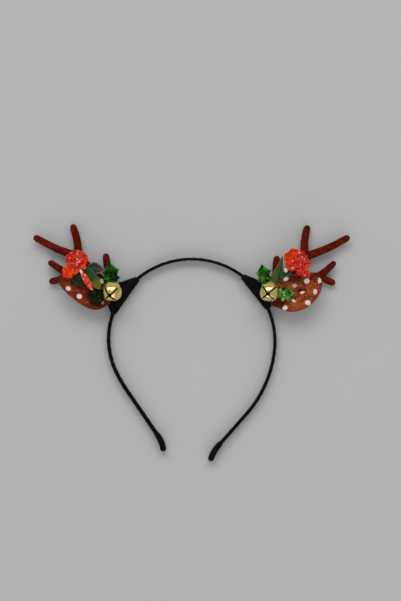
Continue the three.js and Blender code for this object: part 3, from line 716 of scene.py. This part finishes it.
def makeSleeves(path):
    outline = roundedOutline(sleeve["width"], sleeve["height"], sleeve["corner"], sleeve["sides"])
    shares = np.linspace(0, 1, sleeve["rows"])
    sizes = np.interp(shares, *zip(*sleeve["sizes"]))
    sizes *= 1 + sleeve["crease"] * np.sin(shares * sleeve["creaseWaves"])  # faint rings where it was pushed on
    for side in sideSign:
        walk = path if side == "right" else path[::-1]
        steps = walked(walk)
        at = np.linspace(steps[-1] - sleeve["length"][side], steps[-1], sleeve["rows"])
        line = np.stack([np.interp(at, steps, walk[:, axis]) for axis in range(3)], axis=1)
        rings = sweptRings(line, outline[None] * sizes[:, None, None])
        settle(makePiece("tipSleeve_" + side, *tubeParts(rings), blackSatin), "satin_ribbon", "tip_" + side)


# Felt patches
felt = {
    "voxel": 0.55, "passes": 5, "dent": 0.35, "dentSize": 7.0, "dentFloor": 5.0,
    "fuzz": {"Spacing": 0.5 * mm, "Density": 3.0e6, "Size": 0.03 * mm, "Length": 0.5 * mm, "Lowest": 0.7 * mm},
    "left": {"cut": (0.036, 0.036), "cutArea": 0.00105, "dentSeed": 4, "fuzzSeed": 51},
    "right": {"cut": (0.036, 0.036), "cutArea": 0.00098, "dentSeed": 9, "fuzzSeed": 52},
}


def makeFelt():
    for side in sideSign:
        shape = felt[side]
        patch = softened(cadCopy("feltPatch_" + side, "felt_patch_" + side), felt["voxel"], felt["passes"])
        points = np.array([v.co for v in patch.data.vertices])
        dents = np.abs(wobble(points / mm, felt["dentSize"], shape["dentSeed"])) * felt["dent"] * mm
        points[:, 2] -= dents * (points[:, 2] > felt["dentFloor"] * mm)
        reshaped(patch, points, blackFelt)
        settle(patch, "black_felt", "felt_patch_" + side)
        fuzz = scatterOn(patch, "feltFuzz_" + side, flockTree, {
            **felt["fuzz"], "Seed": shape["fuzzSeed"], "Finish": blackFelt,
        })
        settle(fuzz, "black_felt")


# Antlers
antler = {
    "voxel": 0.45, "passes": 9, "lump": 0.12, "lumpSize": 6.0, "nap": 0.3,
    "flock": {"Spacing": 0.35 * mm, "Density": 6.0e6, "Size": 0.045 * mm, "Length": 0.32 * mm, "Lowest": 0.7 * mm},
    "left": {"lumpSeed": 2, "flockSeed": 11}, "right": {"lumpSeed": 6, "flockSeed": 12},
}


def makeAntlers():
    for side in sideSign:
        horn = softened(cadCopy("antlerHorn_" + side, "antler_" + side), antler["voxel"], antler["passes"])
        points = np.array([v.co for v in horn.data.vertices])
        normals = np.array([v.normal for v in horn.data.vertices])
        lumps = wobble(points / mm, antler["lumpSize"], antler[side]["lumpSeed"])
        reshaped(horn, points + normals * (lumps[:, None] * antler["lump"] + antler["nap"]) * mm, brownFlock)
        settle(horn, "flocked_antler", "antler_" + side)
        nap = scatterOn(horn, "antlerFlock_" + side, flockTree, {
            **antler["flock"], "Seed": antler[side]["flockSeed"], "Finish": brownFlock,
        })
        settle(nap, "flocked_antler")


# Cupped cloth ears
ear = {
    "rows": 72, "columns": 49, "wall": 1.3, "seat": 8.7, "rise": 0.04, "noDot": 9.0,
    "wrinkle": 0.35, "gatherReach": 9, "gatherWaves": 9, "gatherStart": 0.6, "slackSize": 8.0, "slackFrom": 3,
    "hemRoll": 0.35, "hemAt": 0.9, "hemWidth": 0.6,
    "pile": {"Spacing": 0.42 * mm, "Density": 5.0e6, "Size": 0.06 * mm, "Length": 0.4 * mm, "Lowest": 0.7 * mm},
    "left": {
        "base": (60.1, 0.4), "heading": 21, "cut": (0.0245, 0.041), "cutArea": 0.0008,
        "slackSeed": 3, "pileSeed": 41,
        "tints": (tint(58, 16, 8), tint(124, 44, 25), tint(164, 73, 42)),
        "along": (0, 3, 7, 13, 22, 31, 37, 40.2), "below": (3, 6.8, 9.8, 10.8, 9.2, 6.2, 3.2, 0.8),
        "above": (2.6, 5, 9.4, 12.4, 10.6, 8, 4.8, 1.1), "liftBelow": (0, 0.8, 1.6, 3, 4, 3.6, 2.4, 1),
        "liftAbove": (0, 0.2, 0.4, 1.2, 2, 2.2, 1.8, 1),
        "dots": [  # place, long and short half, turn, then how far painted shade dims it
            (91.1, 8.7, 1.9, 1.8, 0, 0.02), (82.9, 2.9, 2, 1.9, 0, 0), (66.8, 14.2, 1.9, 1.5, 30, 0.25),
            (65.9, -1.4, 1.4, 1.1, 40, 0.4),
        ],
        "shade": [(80, 13, 9, 4), (74, 5, 5, 6), (66, 12, 5, 4), (69, -2, 6, 4)],
        "light": [(85, 9, 6, 3), (79.5, -0.4, 4, 2), (92, 13, 4, 3)],
    },
    "right": {
        "base": (57.6, 0.7), "heading": 19, "cut": (0.028, 0.0415), "cutArea": 0.00095,
        "slackSeed": 8, "pileSeed": 42,
        "tints": (tint(68, 19, 9), tint(142, 56, 28), tint(190, 99, 54)),
        "along": (0, 4, 9, 16, 24, 32, 37.4, 40), "below": (4.4, 7.4, 11.6, 14, 13.7, 10.2, 5.4, 1),
        "above": (2.4, 3.8, 8.6, 11.6, 12.2, 10, 6, 1.6), "liftBelow": (0, 0.6, 2, 4, 5, 4.4, 3, 1.4),
        "liftAbove": (0, 0.4, 1.6, 3.4, 4, 3.6, 2.8, 1.4),
        "dots": [
            (69.3, 16.3, 1.9, 1.4, 25, 0), (84.8, 14.5, 2.1, 2, 0, 0), (94.6, 15.1, 2.4, 1.6, 80, 0),
            (75.9, 11.1, 1.6, 1.5, 0, 0.5), (81.6, 6, 1.7, 0.8, 20, 0), (91.1, 6.3, 2, 1.4, 100, 0.12),
            (75.1, -0.2, 1.8, 0.8, -25, 0), (85.6, -1.7, 2, 1.8, 0, 0), (68.9, -5.4, 1.9, 1.6, 20, 0),
        ],
        "shade": [(75, 16.5, 8, 4), (80.5, 7.8, 4.5, 2.2), (66, 4, 7, 5), (61, -3, 5, 4), (90.5, 18.8, 3.4, 1.2)],
        "light": [(77, -4, 9, 3.4), (72, 11, 4.5, 3), (89, 7, 5, 5)],
    },
}


def dotFields(dots, x, y):  # way to the next dot's edge, and how far painted shade dims that dot
    nearest, shaded = np.full(x.shape, ear["noDot"]), np.zeros(x.shape)
    for dotX, dotY, long, short, turn, dim in dots:
        angle = math.radians(turn)
        a = (x - dotX) * math.cos(angle) + (y - dotY) * math.sin(angle)
        b = (y - dotY) * math.cos(angle) - (x - dotX) * math.sin(angle)
        gap = (np.hypot(a / long, b / short) - 1) * short
        shaded = np.where(gap < nearest, dim, shaded)
        nearest = np.minimum(nearest, gap)
    return {"dotGap": nearest, "dotDim": shaded}


def softSpots(spots, x, y):  # each spot a place and two half sizes
    return sum(np.exp(-((x - spotX) / wide) ** 2 - ((y - spotY) / high) ** 2) for spotX, spotY, wide, high in spots)


def makeEars():
    for side, sign in sideSign.items():
        shape = ear[side]
        u, v = sheetGrid(ear)
        along = u * shape["along"][-1]
        below, above, liftBelow, liftAbove = (
            smoothTable(shape["along"], shape[key], along) for key in ("below", "above", "liftBelow", "liftAbove")
        )
        half = np.where(v < 0, below, above)
        lift = v * v * np.where(v < 0, liftBelow, liftAbove)
        heading = math.radians(shape["heading"])
        x = shape["base"][0] + along * math.cos(heading) - v * half * math.sin(heading)
        y = shape["base"][1] + along * math.sin(heading) + v * half * math.cos(heading)
        z = ear["seat"] + ear["rise"] * along + lift
        pinch = np.exp(-along / ear["gatherReach"]) * np.sin(v * ear["gatherWaves"] + ear["gatherStart"])
        slack = wobble(np.stack([x, y, z], axis=-1), ear["slackSize"], shape["slackSeed"]) * ear["wrinkle"]
        z = z + pinch * ear["wrinkle"] + slack * np.minimum(1, u * ear["slackFrom"])  # gathers and slack cloth
        hem = np.minimum((1 - np.abs(v)) * half, (1 - u) * shape["along"][-1])
        wall = ear["wall"] + ear["hemRoll"] * np.exp(-((hem - ear["hemAt"]) / ear["hemWidth"]) ** 2)
        # painted shade spots less painted light spots: shade in the cup, creases and under the flower, light where
        # the cloth faces up
        shade = softSpots(shape["shade"], x, y) - softSpots(shape["light"], x, y)
        fields = {**dotFields(shape["dots"], x, y), "shade": shade, "hem": hem}
        spottedCloth = earFinish("spottedCloth_" + side, *shape["tints"])
        middle = np.stack([sign * x, y, z], axis=-1)
        flap = sheetPiece("ear_" + side + "_cloth", [(middle, fields)], spottedCloth, wall)
        settle(flap, "spotted_cloth", "ear_" + side)
        pile = scatterOn(flap, "earPile_" + side, flockTree, {
            **ear["pile"], "Seed": shape["pileSeed"], "Finish": spottedCloth,
        })
        settle(pile, "spotted_cloth")


# Jingle bells
bell = {
    "radius": 7.5, "wall": 0.7, "z": 17.4, "rings": 80, "around": 128, "pole": 0.02, "sharpFrom": 40, "sliver": 0.004,
    "slitWidth": 1.15, "slitReach": 6.9, "slitTurn": 40, "slitLift": 1.22, "slitStagger": 0.0004,
    "hole": 1.45, "holeSides": 32, "dip": 0.15, "dipWidth": 0.8, "flatten": 0.075, "seam": 0.22, "seamWidth": 0.35,
    "dipFront": (5, -1.2), "flattenFront": (2, 0.6),  # how fast each fades from the front to the side
    "loopRadius": 2.0, "loopMouth": 0.6, "loopRows": 40, "loopSides": 12, "wire": 0.55, "seat": 7.9,
    "left": {"x": 58.5, "y": 6.6, "lean": (0.22, -0.44)}, "right": {"x": 57.1, "y": 6.4, "lean": (-0.2, -0.2)},
}


def frontShare(polar, steep, start):
    return np.clip(np.cos(polar) * steep + start, 0, 1)


def bellRings(radius):
    polar = np.linspace(bell["pole"], math.pi - bell["pole"], bell["rings"])[:, None]
    turn = np.linspace(0, 2 * math.pi, bell["around"], endpoint=False)[None]
    local = turn - math.radians(bell["slitTurn"])
    front = frontShare(polar, *bell["flattenFront"])  # flatter between the slits
    size = radius * (1 - bell["flatten"] * front * np.sin(polar) * (1 - np.cos(4 * local)) / 2)
    toSlit = np.abs(np.sin(2 * local)) / 2 * np.sin(polar) * radius  # near enough the way to the next slit
    size -= bell["dip"] * np.exp(-(toSlit / bell["dipWidth"]) ** 2) * frontShare(polar, *bell["dipFront"])
    size += bell["seam"] * np.exp(-((polar - math.pi / 2) * radius / bell["seamWidth"]) ** 2)
    out = size * np.sin(polar)
    return np.stack([out * np.cos(turn), out * np.sin(turn), size * np.cos(polar)], axis=-1)


def bellCutters():  # crossed slits, and the round hole where they meet
    radius, slits, hole = bell["radius"], bmesh.new(), bmesh.new()
    for turn in (0, 90):
        spin = Matrix.Rotation(math.radians(bell["slitTurn"] + turn), 4, "Z")
        stretch = Matrix.Diagonal((2 * bell["slitReach"], bell["slitWidth"], 2 * radius, 1))
        lift = Matrix.Translation((0, 0, radius * bell["slitLift"] + turn * bell["slitStagger"]))
        bmesh.ops.create_cube(slits, size=1, matrix=lift @ spin @ stretch)
    bmesh.ops.create_cone(hole, cap_ends=True, segments=bell["holeSides"], radius1=bell["hole"], radius2=bell["hole"],
                          depth=2 * radius, matrix=Matrix.Translation((0, 0, radius)))
    return built("slitCutter", slits), built("holeCutter", hole)


def bellShell(side, sign):
    shape = bell[side]
    outer, outerFaces = tubeParts(bellRings(bell["radius"]))
    inner, innerFaces = tubeParts(bellRings(bell["radius"] - bell["wall"]))
    mesh = bpy.data.meshes.new("bellShell_" + side)
    faces = outerFaces + [tuple(c + len(outer) for c in face[::-1]) for face in innerFaces]
    mesh.from_pydata(np.concatenate([outer, inner]).tolist(), [], faces)
    mesh.materials.append(goldPlate)
    mesh.materials.append(bellInside)
    mesh.polygons.foreach_set("material_index", [0] * len(outerFaces) + [1] * len(innerFaces))
    shell, tools = placed("bellShell_" + side, mesh), bellCutters()
    for tool in tools:
        cut = shell.modifiers.new("cut", "BOOLEAN")
        cut.operation, cut.object, cut.solver, cut.use_self = "DIFFERENCE", tool, "EXACT", True
    applied(shell)
    for tool in tools:
        bpy.data.objects.remove(tool)
    edited(  # clear away the cut's slivers
        shell.data,
        lambda cut: bmesh.ops.remove_doubles(cut, verts=cut.verts, dist=bell["sliver"]),
        lambda cut: bmesh.ops.dissolve_degenerate(cut, edges=cut.edges, dist=bell["sliver"]),
        lambda cut: bmesh.ops.triangulate(cut, faces=[face for face in cut.faces if len(face.verts) > 4]),
    )
    facing = Vector((sign * shape["lean"][0], shape["lean"][1], 1)).normalized()
    turn = Vector((0, 0, 1)).rotation_difference(facing).to_matrix().to_4x4()
    middle = Vector(toFrame([sign * shape["x"], shape["y"], bell["z"]]))
    shell.data.transform(Matrix.Translation(middle) @ turn @ Matrix.Diagonal((mm, mm, mm, 1)))
    shell.data.shade_smooth()
    shell.data.set_sharp_from_angle(angle=math.radians(bell["sharpFrom"]))
    return shell


def bellLoop(sign, shape):  # wire loop that the bell is sewn on by
    high, low = bell["z"] - bell["radius"] + bell["wall"] / 2, bell["seat"] + bell["wire"]
    reach, level = bell["loopRadius"], (high + low) / 2
    mouth = bell["loopMouth"] * reach
    stops = [(-mouth, high), (-reach, level), (0, low), (reach, level), (mouth, high)]
    line = pathThrough([(sign * shape["x"], shape["y"] + along, z) for along, z in stops], bell["loopRows"])
    return roundRings(line, bell["wire"], np.broadcast_to([1.0, 0.0, 0.0], line.shape), bell["loopSides"])


def makeBells():
    for side, sign in sideSign.items():
        settle(bellShell(side, sign), "gold_bell", "bell_" + side)
        loop = makePiece("bellLoop_" + side, *tubeParts(bellLoop(sign, bell[side])), goldPlate)
        settle(loop, "gold_bell")


# Holly and cloth leaves
holly = {
    "rows": 61, "columns": 31, "wall": 0.5, "crumple": 0.6, "crumpleSize": 2.4, "level": 0.25, "hollow": 1.7,
    "lead": 0.05, "curl": 0.5, "curlWaves": 9, "vein": 0.28, "veinWidth": 0.5, "rib": 0.224, "ribLean": 0.25,
    "ribPitch": 0.16, "ribFade": 3, "curlStep": 2, "crumpleSeed": 5, "sideSeed": 3,
    "spines": [(0.30, 1.0), (0.62, 1.06), (1.0, 0.03)], "bays": [(0.0, 0.3), (0.44, 0.72), (0.8, 0.5)],
    "left": [  # base, tip, half width, fold, arch
        ("upper", (58.4, 10.6, 8.4), (60.8, 28.4, 11), 6.4, 0.2, 0.6),
        ("outer", (63, 4.6, 10.4), (76.4, 2.3, 13.6), 5.6, 0.2, 0.4),
    ],
    "right": [
        ("upper", (55, 10.4, 8.4), (51.5, 27, 13), 5.4, 0.12, 0.6),
        ("outer", (62, 4.4, 10.4), (75.6, 5.7, 13.8), 5.6, 0.2, 0.4),
    ],
    # one green foil, with each leaf's tints made darker or lighter as painted shade and painted light; the third tint
    # of each is a painted glint
    "tints": {
        "left_upper": (tint(10, 40, 8), tint(38, 100, 28), tint(80, 150, 66)),
        "left_outer": (tint(3, 10, 3), tint(11, 32, 9), tint(34, 76, 30)),
        "right_upper": (tint(14, 56, 9), tint(44, 114, 26), tint(104, 180, 70)),
        "right_outer": (tint(16, 70, 12), tint(82, 160, 48), tint(200, 240, 160)),
    },
}


def hollyHalf(u):  # sharp spines with hollow bays between them
    stops = sorted(holly["spines"] + holly["bays"])
    half = np.empty_like(u)
    for (fromU, fromHalf), (toU, toHalf) in zip(stops, stops[1:]):
        inside = (u >= fromU) & (u <= toU)
        t = (u[inside] - fromU) / (toU - fromU)
        t = t ** holly["hollow"] if toHalf > fromHalf else 1 - (1 - t) ** holly["hollow"]
        half[inside] = fromHalf + (toHalf - fromHalf) * t
    return half


def leafFrame(sign, base, tip):
    start = np.array([sign * base[0], base[1], base[2]])
    ahead = np.array([sign * tip[0], tip[1], tip[2]]) - start
    return start, ahead, unit(np.array([-ahead[1], ahead[0], 0.0]))


def makeHolly():
    u, v = sheetGrid(holly)
    off, half = np.abs(v), hollyHalf(u)
    lead = holly["lead"] * off ** 2 * np.clip(half - 0.5, 0, 1)  # spines point towards the tip
    ribs = np.cos((u - holly["ribLean"] * off) * 2 * math.pi / holly["ribPitch"]) * half
    ribs *= np.minimum(1, off * holly["ribFade"])
    for side, sign in sideSign.items():
        for k, (leaf, base, tip, halfWidth, fold, arch) in enumerate(holly[side]):
            seed = holly["crumpleSeed"] + k + holly["sideSeed"] * sign
            start, ahead, across = leafFrame(sign, base, tip)
            width = halfWidth * half
            middle = start + (u + lead)[..., None] * ahead + (v * width)[..., None] * across
            curl = holly["curl"] * off ** 3 * np.sin(u * holly["curlWaves"] + k * holly["curlStep"]) * half
            veins = holly["rib"] * ribs - holly["vein"] * np.exp(-(off * width / holly["veinWidth"]) ** 2)
            dents = np.abs(wobble(middle, holly["crumpleSize"], seed)) - holly["level"]
            middle[..., 2] += arch * np.sin(math.pi * u) + fold * off * width + curl
            middle[..., 2] += veins + dents * holly["crumple"]
            finish = hollyFinish("hollyFoil_%s_%s" % (side, leaf), *holly["tints"][side + "_" + leaf])
            piece = sheetPiece("hollyLeaf_%s_%s" % (side, leaf), [(middle, {})], finish, holly["wall"])
            settle(piece, "holly_foil", "holly_%s_%s" % (side, leaf))


clothLeaf = {
    "rows": 49, "columns": 25, "wall": 0.45, "strip": 0.01, "ripple": 0.4, "rippleWaves": 11, "rippleSkew": 1.5,
    "veinWidth": 0.35, "veinDepth": 0.18, "ribLean": 0.22, "ribPitch": 0.13, "ribDepth": 0.05, "ribTone": 0.6,
    "along": (0, 0.1, 0.22, 0.36, 0.5, 0.64, 0.78, 0.9, 1),
    "broad": (0.14, 0.54, 0.88, 1, 0.93, 0.76, 0.54, 0.32, 0.06),
    "slim": (0.16, 0.62, 0.96, 1, 0.82, 0.52, 0.33, 0.22, 0.05),
    "full": (0.2, 0.6, 0.9, 1, 1, 0.95, 0.84, 0.6, 0.12),
    "left": [  # base, tip, half width, fold, arch, outline, then the deep, lit, rim, tip and far half colours
        ("inner", (78.6, 24.6, 14.2), (67.3, 8.6, 13.6), 3.6, 0.12, 0.1, "full",
         (tint(18, 52, 32), tint(58, 96, 66), tint(76, 112, 74), tint(108, 126, 32), tint(44, 84, 54))),
        ("middle", (76.4, 25, 12), (63.9, 22.2, 13.4), 4.4, 0.08, 0, "broad",
         (tint(12, 34, 20), tint(42, 72, 48), tint(150, 160, 148), tint(70, 52, 36), tint(28, 54, 36))),
        ("outer", (85.6, 22, 13.8), (80.6, 10.2, 13.6), 4.9, 0.1, 0.2, "broad",
         (tint(14, 36, 20), tint(34, 66, 38), tint(58, 78, 52), tint(44, 48, 24), tint(20, 50, 32))),
    ],
    "right": [
        ("upright", (61.4, 10.2, 8.4), (66.9, 32.4, 11), 4.3, 0.15, 0.2, "slim",
         (tint(30, 64, 22), tint(56, 92, 38), tint(116, 130, 90), tint(46, 80, 30), tint(86, 106, 64))),
        ("low", (73.4, 24.4, 14.8), (65.4, 17.2, 14.6), 3.2, 0.12, 0.2, "broad",
         (tint(18, 46, 18), tint(46, 78, 36), tint(90, 112, 82), tint(28, 58, 26), tint(30, 60, 30))),
    ],
}


def makeLeaves():
    u, v = sheetGrid(clothLeaf)
    off = np.abs(v)
    ribs = np.cos((u - clothLeaf["ribLean"] * off) * 2 * math.pi / clothLeaf["ribPitch"])
    ribs = np.clip(ribs * 3 - 2, 0, 1) * clothLeaf["ribTone"]  # only the crests of the wave
    for side, sign in sideSign.items():
        for k, (leaf, base, tip, halfWidth, fold, arch, outline, tints) in enumerate(clothLeaf[side]):
            start, ahead, across = leafFrame(sign, base, tip)
            width = halfWidth * smoothTable(clothLeaf["along"], clothLeaf[outline], u)
            middle = start + u[..., None] * ahead + (v * width)[..., None] * across
            waves = np.sin(u * clothLeaf["rippleWaves"] + v * clothLeaf["rippleSkew"] + k)
            ripple = clothLeaf["ripple"] * off ** 2 * waves
            middle[..., 2] += arch * np.sin(math.pi * u) + fold * off * width + ripple
            vein = np.exp(-(off * width / clothLeaf["veinWidth"]) ** 2)
            middle[..., 2] -= clothLeaf["veinDepth"] * vein + clothLeaf["ribDepth"] * ribs
            finish = leafFinish("leafCloth_%s_%s" % (side, leaf), *tints)
            fields = {"vein": np.maximum(vein, ribs), "rim": (1 - off) * width, "tipward": u, "farHalf": v}
            piece = sheetPiece("clothLeaf_%s_%s" % (side, leaf), [(middle, fields)], finish, clothLeaf["wall"])
            settle(piece, "leaf_cloth", "leaf_%s_%s" % (side, leaf))


# Flower sprays
flower = {
    "rows": 25, "columns": 19, "wall": 0.6, "start": 1.5, "ruffle": 0.95, "ragged": 0.06, "raggedWaves": 17,
    "roundTip": 0.07, "crest": 0.5, "sag": 0.4, "cup": 0.15, "rootShadeFade": 1.6, "ballRounds": 3, "stemSides": 32,
    "tipPower": 2.5, "rufflePower": 1.5, "ruffleWaves": (5, 7, 1.7), "crestWaves": 6,
    "stem": [(2.6, 8.2), (3.2, 9.5), (3.6, 12), (4.2, 14.4), (3.4, 15.6), (1.4, 16)],  # radius and height
    "along": (0, 0.3, 0.6, 0.8, 0.92, 1), "half": (0.62, 0.9, 1, 0.92, 0.66, 0.24),
    "bead": {"Spacing": 1.55 * mm, "Density": 3.0e6, "Size": 0.84 * mm},
    "left": {
        "boss": (83, 28.3), "beadSeed": 21,
        "petals": [  # bearing, reach, half width, height at the root and at the tip
            (-44, 15.4, 4.6, 15.4, 16.2), (26, 10.2, 4.2, 13.5, 15.5), (82, 8.8, 4.2, 13.5, 16),
            (140, 7.8, 3.6, 14.2, 16.4), (222, 7, 2, 15.8, 17.4), (-62, 9.5, 3.2, 16, 17), (172, 6, 2.8, 15, 16.6),
        ],
        "blobs": [  # x, y, z and half sizes of the beaded lumps
            (84.7, 30.2, 16.0, 4.8, 5.0, 2.0), (88.6, 33.6, 15.8, 2.0, 2.0, 1.4), (80.6, 33.2, 16.0, 2.2, 2.6, 1.4),
            (86.8, 25.8, 16.6, 3.2, 2.8, 1.4), (89.4, 29.5, 15.8, 2.0, 2.2, 1.4),
        ],
        "pips": [(81, 21.1, 17.6, 1, 1.9, 0.7, -30)],  # as the lumps, then a turn
    },
    "right": {
        "boss": (78, 27.2), "beadSeed": 22,
        "petals": [
            (144, 12, 4, 13, 16), (114, 12, 4, 14, 17), (182, 9.4, 3.6, 16.4, 17), (66, 9, 3.4, 13.4, 15),
            (-2, 9.4, 2.6, 14, 15.4), (-52, 13, 2.6, 15.4, 16.6), (128, 9.5, 4.2, 15.5, 18),
            (160, 8, 3.2, 15.8, 17.8),
        ],
        "blobs": [
            (78.6, 28.3, 16.2, 4.8, 4.4, 2.2), (80.3, 34.2, 15.8, 2.4, 2.4, 1.6), (83.0, 31.3, 15.6, 2.4, 2.2, 1.6),
            (73.9, 23.6, 16.8, 3.2, 2.0, 1.4), (79.4, 21.0, 17.0, 2.8, 2.0, 1.4), (83.4, 18.6, 17.0, 2.2, 1.7, 1.3),
        ],
        "pips": [(69.2, 22.4, 15.6, 1.5, 1.8, 0.5, 12)],
    },
}


def petalGrid(sign, boss, petal, seed):
    bearing, reach, halfWidth, rootZ, tipZ = petal
    angle = math.radians(bearing)
    heading = np.array([sign * math.cos(angle), math.sin(angle), 0.0])
    across = np.array([-heading[1], heading[0], 0.0])
    u, v = sheetGrid(flower)
    off = np.abs(v)
    ragged = 1 + flower["ragged"] * np.sin(u * flower["raggedWaves"] + seed)
    width = halfWidth * (smoothTable(flower["along"], flower["half"], u) * ragged)
    long = flower["start"] + (reach - flower["start"]) * (u - flower["roundTip"] * off ** flower["tipPower"] * u)
    middle = np.array([sign * boss[0], boss[1], 0.0]) + long[..., None] * heading + (v * width)[..., None] * across
    wavesAcross, wavesAlong, waveStep = flower["ruffleWaves"]
    waves = np.sin(v * wavesAcross + u * wavesAlong + seed * waveStep)
    ruffle = flower["ruffle"] * u * off ** flower["rufflePower"] * waves
    crest = flower["crest"] * u * u * np.sin(v * flower["crestWaves"] + seed)
    slope = rootZ + (tipZ - rootZ) * u - flower["sag"] * np.sin(math.pi * u)
    middle[..., 2] = slope + flower["cup"] * off * width + ruffle + crest
    return middle, {"heart": np.clip(1 - u * flower["rootShadeFade"], 0, 1)}


def ballPiece(name, sign, balls, finish):  # each ball a place, three half sizes and a turn
    shape = bmesh.new()
    for x, y, z, wide, long, deep, turn in balls:
        spot = Matrix.Translation(Vector(toFrame([sign * x, y, z])))
        spin = Matrix.Rotation(math.radians(turn * sign), 4, "Z")
        size = Matrix.Diagonal((wide * mm, long * mm, deep * mm, 1))
        bmesh.ops.create_icosphere(shape, subdivisions=flower["ballRounds"], radius=1, matrix=spot @ spin @ size)
    piece = built(name, shape)
    piece.data.shade_smooth()
    piece.data.materials.append(finish)
    return piece


def makeFlowers():
    turns = np.linspace(0, 2 * math.pi, flower["stemSides"], endpoint=False)
    for side, sign in sideSign.items():
        shape = flower[side]
        grids = [petalGrid(sign, shape["boss"], petal, k) for k, petal in enumerate(shape["petals"])]
        petals = sheetPiece("sprayPetals_" + side, grids, orangePetal, flower["wall"])
        settle(petals, "orange_petals", "flower_" + side)
        x, y = sign * shape["boss"][0], shape["boss"][1]
        rings = [[(x + r * math.cos(t), y + r * math.sin(t), z) for t in turns] for r, z in flower["stem"]]
        settle(makePiece("sprayStem_" + side, *tubeParts(rings), darkHeart), "orange_petals")
        bed = ballPiece("beadBed_" + side, sign, [blob + (0,) for blob in shape["blobs"]], darkHeart)
        settle(bed, "orange_petals")
        beads = scatterOn(bed, "sprayBeads_" + side, beadTree, {
            **flower["bead"], "Seed": shape["beadSeed"], "Finish": redBeads,
        })
        settle(beads, "orange_petals")
        for k, pip in enumerate(shape["pips"]):
            settle(ballPiece("palePip_%s_%d" % (side, k), sign, [pip], whitePip), "orange_petals")


# Beaded pod
pod = {
    "rows": 48, "sides": 24, "beadRoom": 0.45, "path": [(81.7, 23.1, 16.2), (79, 18.2, 17.6), (72.6, 7.6, 17.2)],
    "along": (0, 0.12, 0.18, 0.36, 0.62, 0.84, 0.95, 1), "radius": (0.6, 0.6, 1.5, 2.2, 2.4, 2.1, 1.3, 0.4),
    "bead": {"Spacing": 0.95 * mm, "Density": 4.0e6, "Size": 0.54 * mm, "Seed": 31},
}


def makePod():
    line = pathThrough([(sideSign["left"] * x, y, z) for x, y, z in pod["path"]], pod["rows"])
    radius = np.interp(np.linspace(0, 1, pod["rows"]), pod["along"], pod["radius"]) - pod["beadRoom"]
    across = unit(np.cross(unit(np.gradient(line, axis=0)), [0, 0, 1]))
    rings = roundRings(line, radius[:, None, None], across, pod["sides"])
    core = makePiece("podCore", *tubeParts(rings), podHeart)
    beads = scatterOn(core, "podBeads_left", beadTree, {**pod["bead"], "Finish": podBeads})
    settle(core, "red_beads", "bead_pod_left")
    settle(beads, "red_beads")


# Floor, light and camera
studio = {
    "floorSize": 4.0, "cameraSpot": (6.5, 31.35, 1503.8), "lens": 121.4, "sensor": 36.0, "clip": (0.05, 20.0),
    "air": (1.0, 1.0, 1.0, 1.0), "airStrength": 0.38,
    "lamps": [  # place, aim, width and depth in metres, and watts
        ((0.05, 0.0, 2.3), (0, 0.02, 0), 1.6, 1.6, 1.6), ((-0.2, 2.6, 2.6), (0, 0.03, 0), 4.0, 1.7, 59.0),
        ((0.15, -2.4, 1.7), (0, 0.03, 0), 3.4, 1.6, 15.0),
    ],
}


def makeStudio():
    bpy.ops.mesh.primitive_plane_add(size=studio["floorSize"], location=(0, 0, 0))
    floor = bpy.context.object
    floor.name = "studioFloor"
    floor.data.materials.append(floorFinish())
    world = bpy.data.worlds.new("studioAir")
    bpy.context.scene.world = world
    world.use_nodes = True
    air = world.node_tree.nodes["Background"]
    air.inputs["Color"].default_value = studio["air"]
    air.inputs["Strength"].default_value = studio["airStrength"]
    for k, (spot, aim, wide, deep, watts) in enumerate(studio["lamps"]):
        light = bpy.data.lights.new("softLamp%d" % k, "AREA")
        light.shape, light.size, light.size_y, light.energy = "RECTANGLE", wide, deep, watts
        lamp = placed(light.name, light)
        lamp.location = spot
        lamp.rotation_euler = (Vector(aim) - Vector(spot)).to_track_quat("-Z", "Y").to_euler()
    lens = bpy.data.cameras.new("photoCamera")
    lens.lens, lens.sensor_width, lens.sensor_fit = studio["lens"], studio["sensor"], "AUTO"
    lens.clip_start, lens.clip_end = studio["clip"]
    camera = placed("photoCamera", lens)
    camera.location = Vector(studio["cameraSpot"]) * mm
    bpy.context.scene.camera = camera
    bpy.context.scene.view_settings.view_transform = "Standard"
    print("studio ready")


makeStudio()
bandPath = makeBand()
makeSleeves(bandPath)
makeFelt()
makeAntlers()
makeEars()
makeBells()
makeHolly()
makeLeaves()
makeFlowers()
makePod()
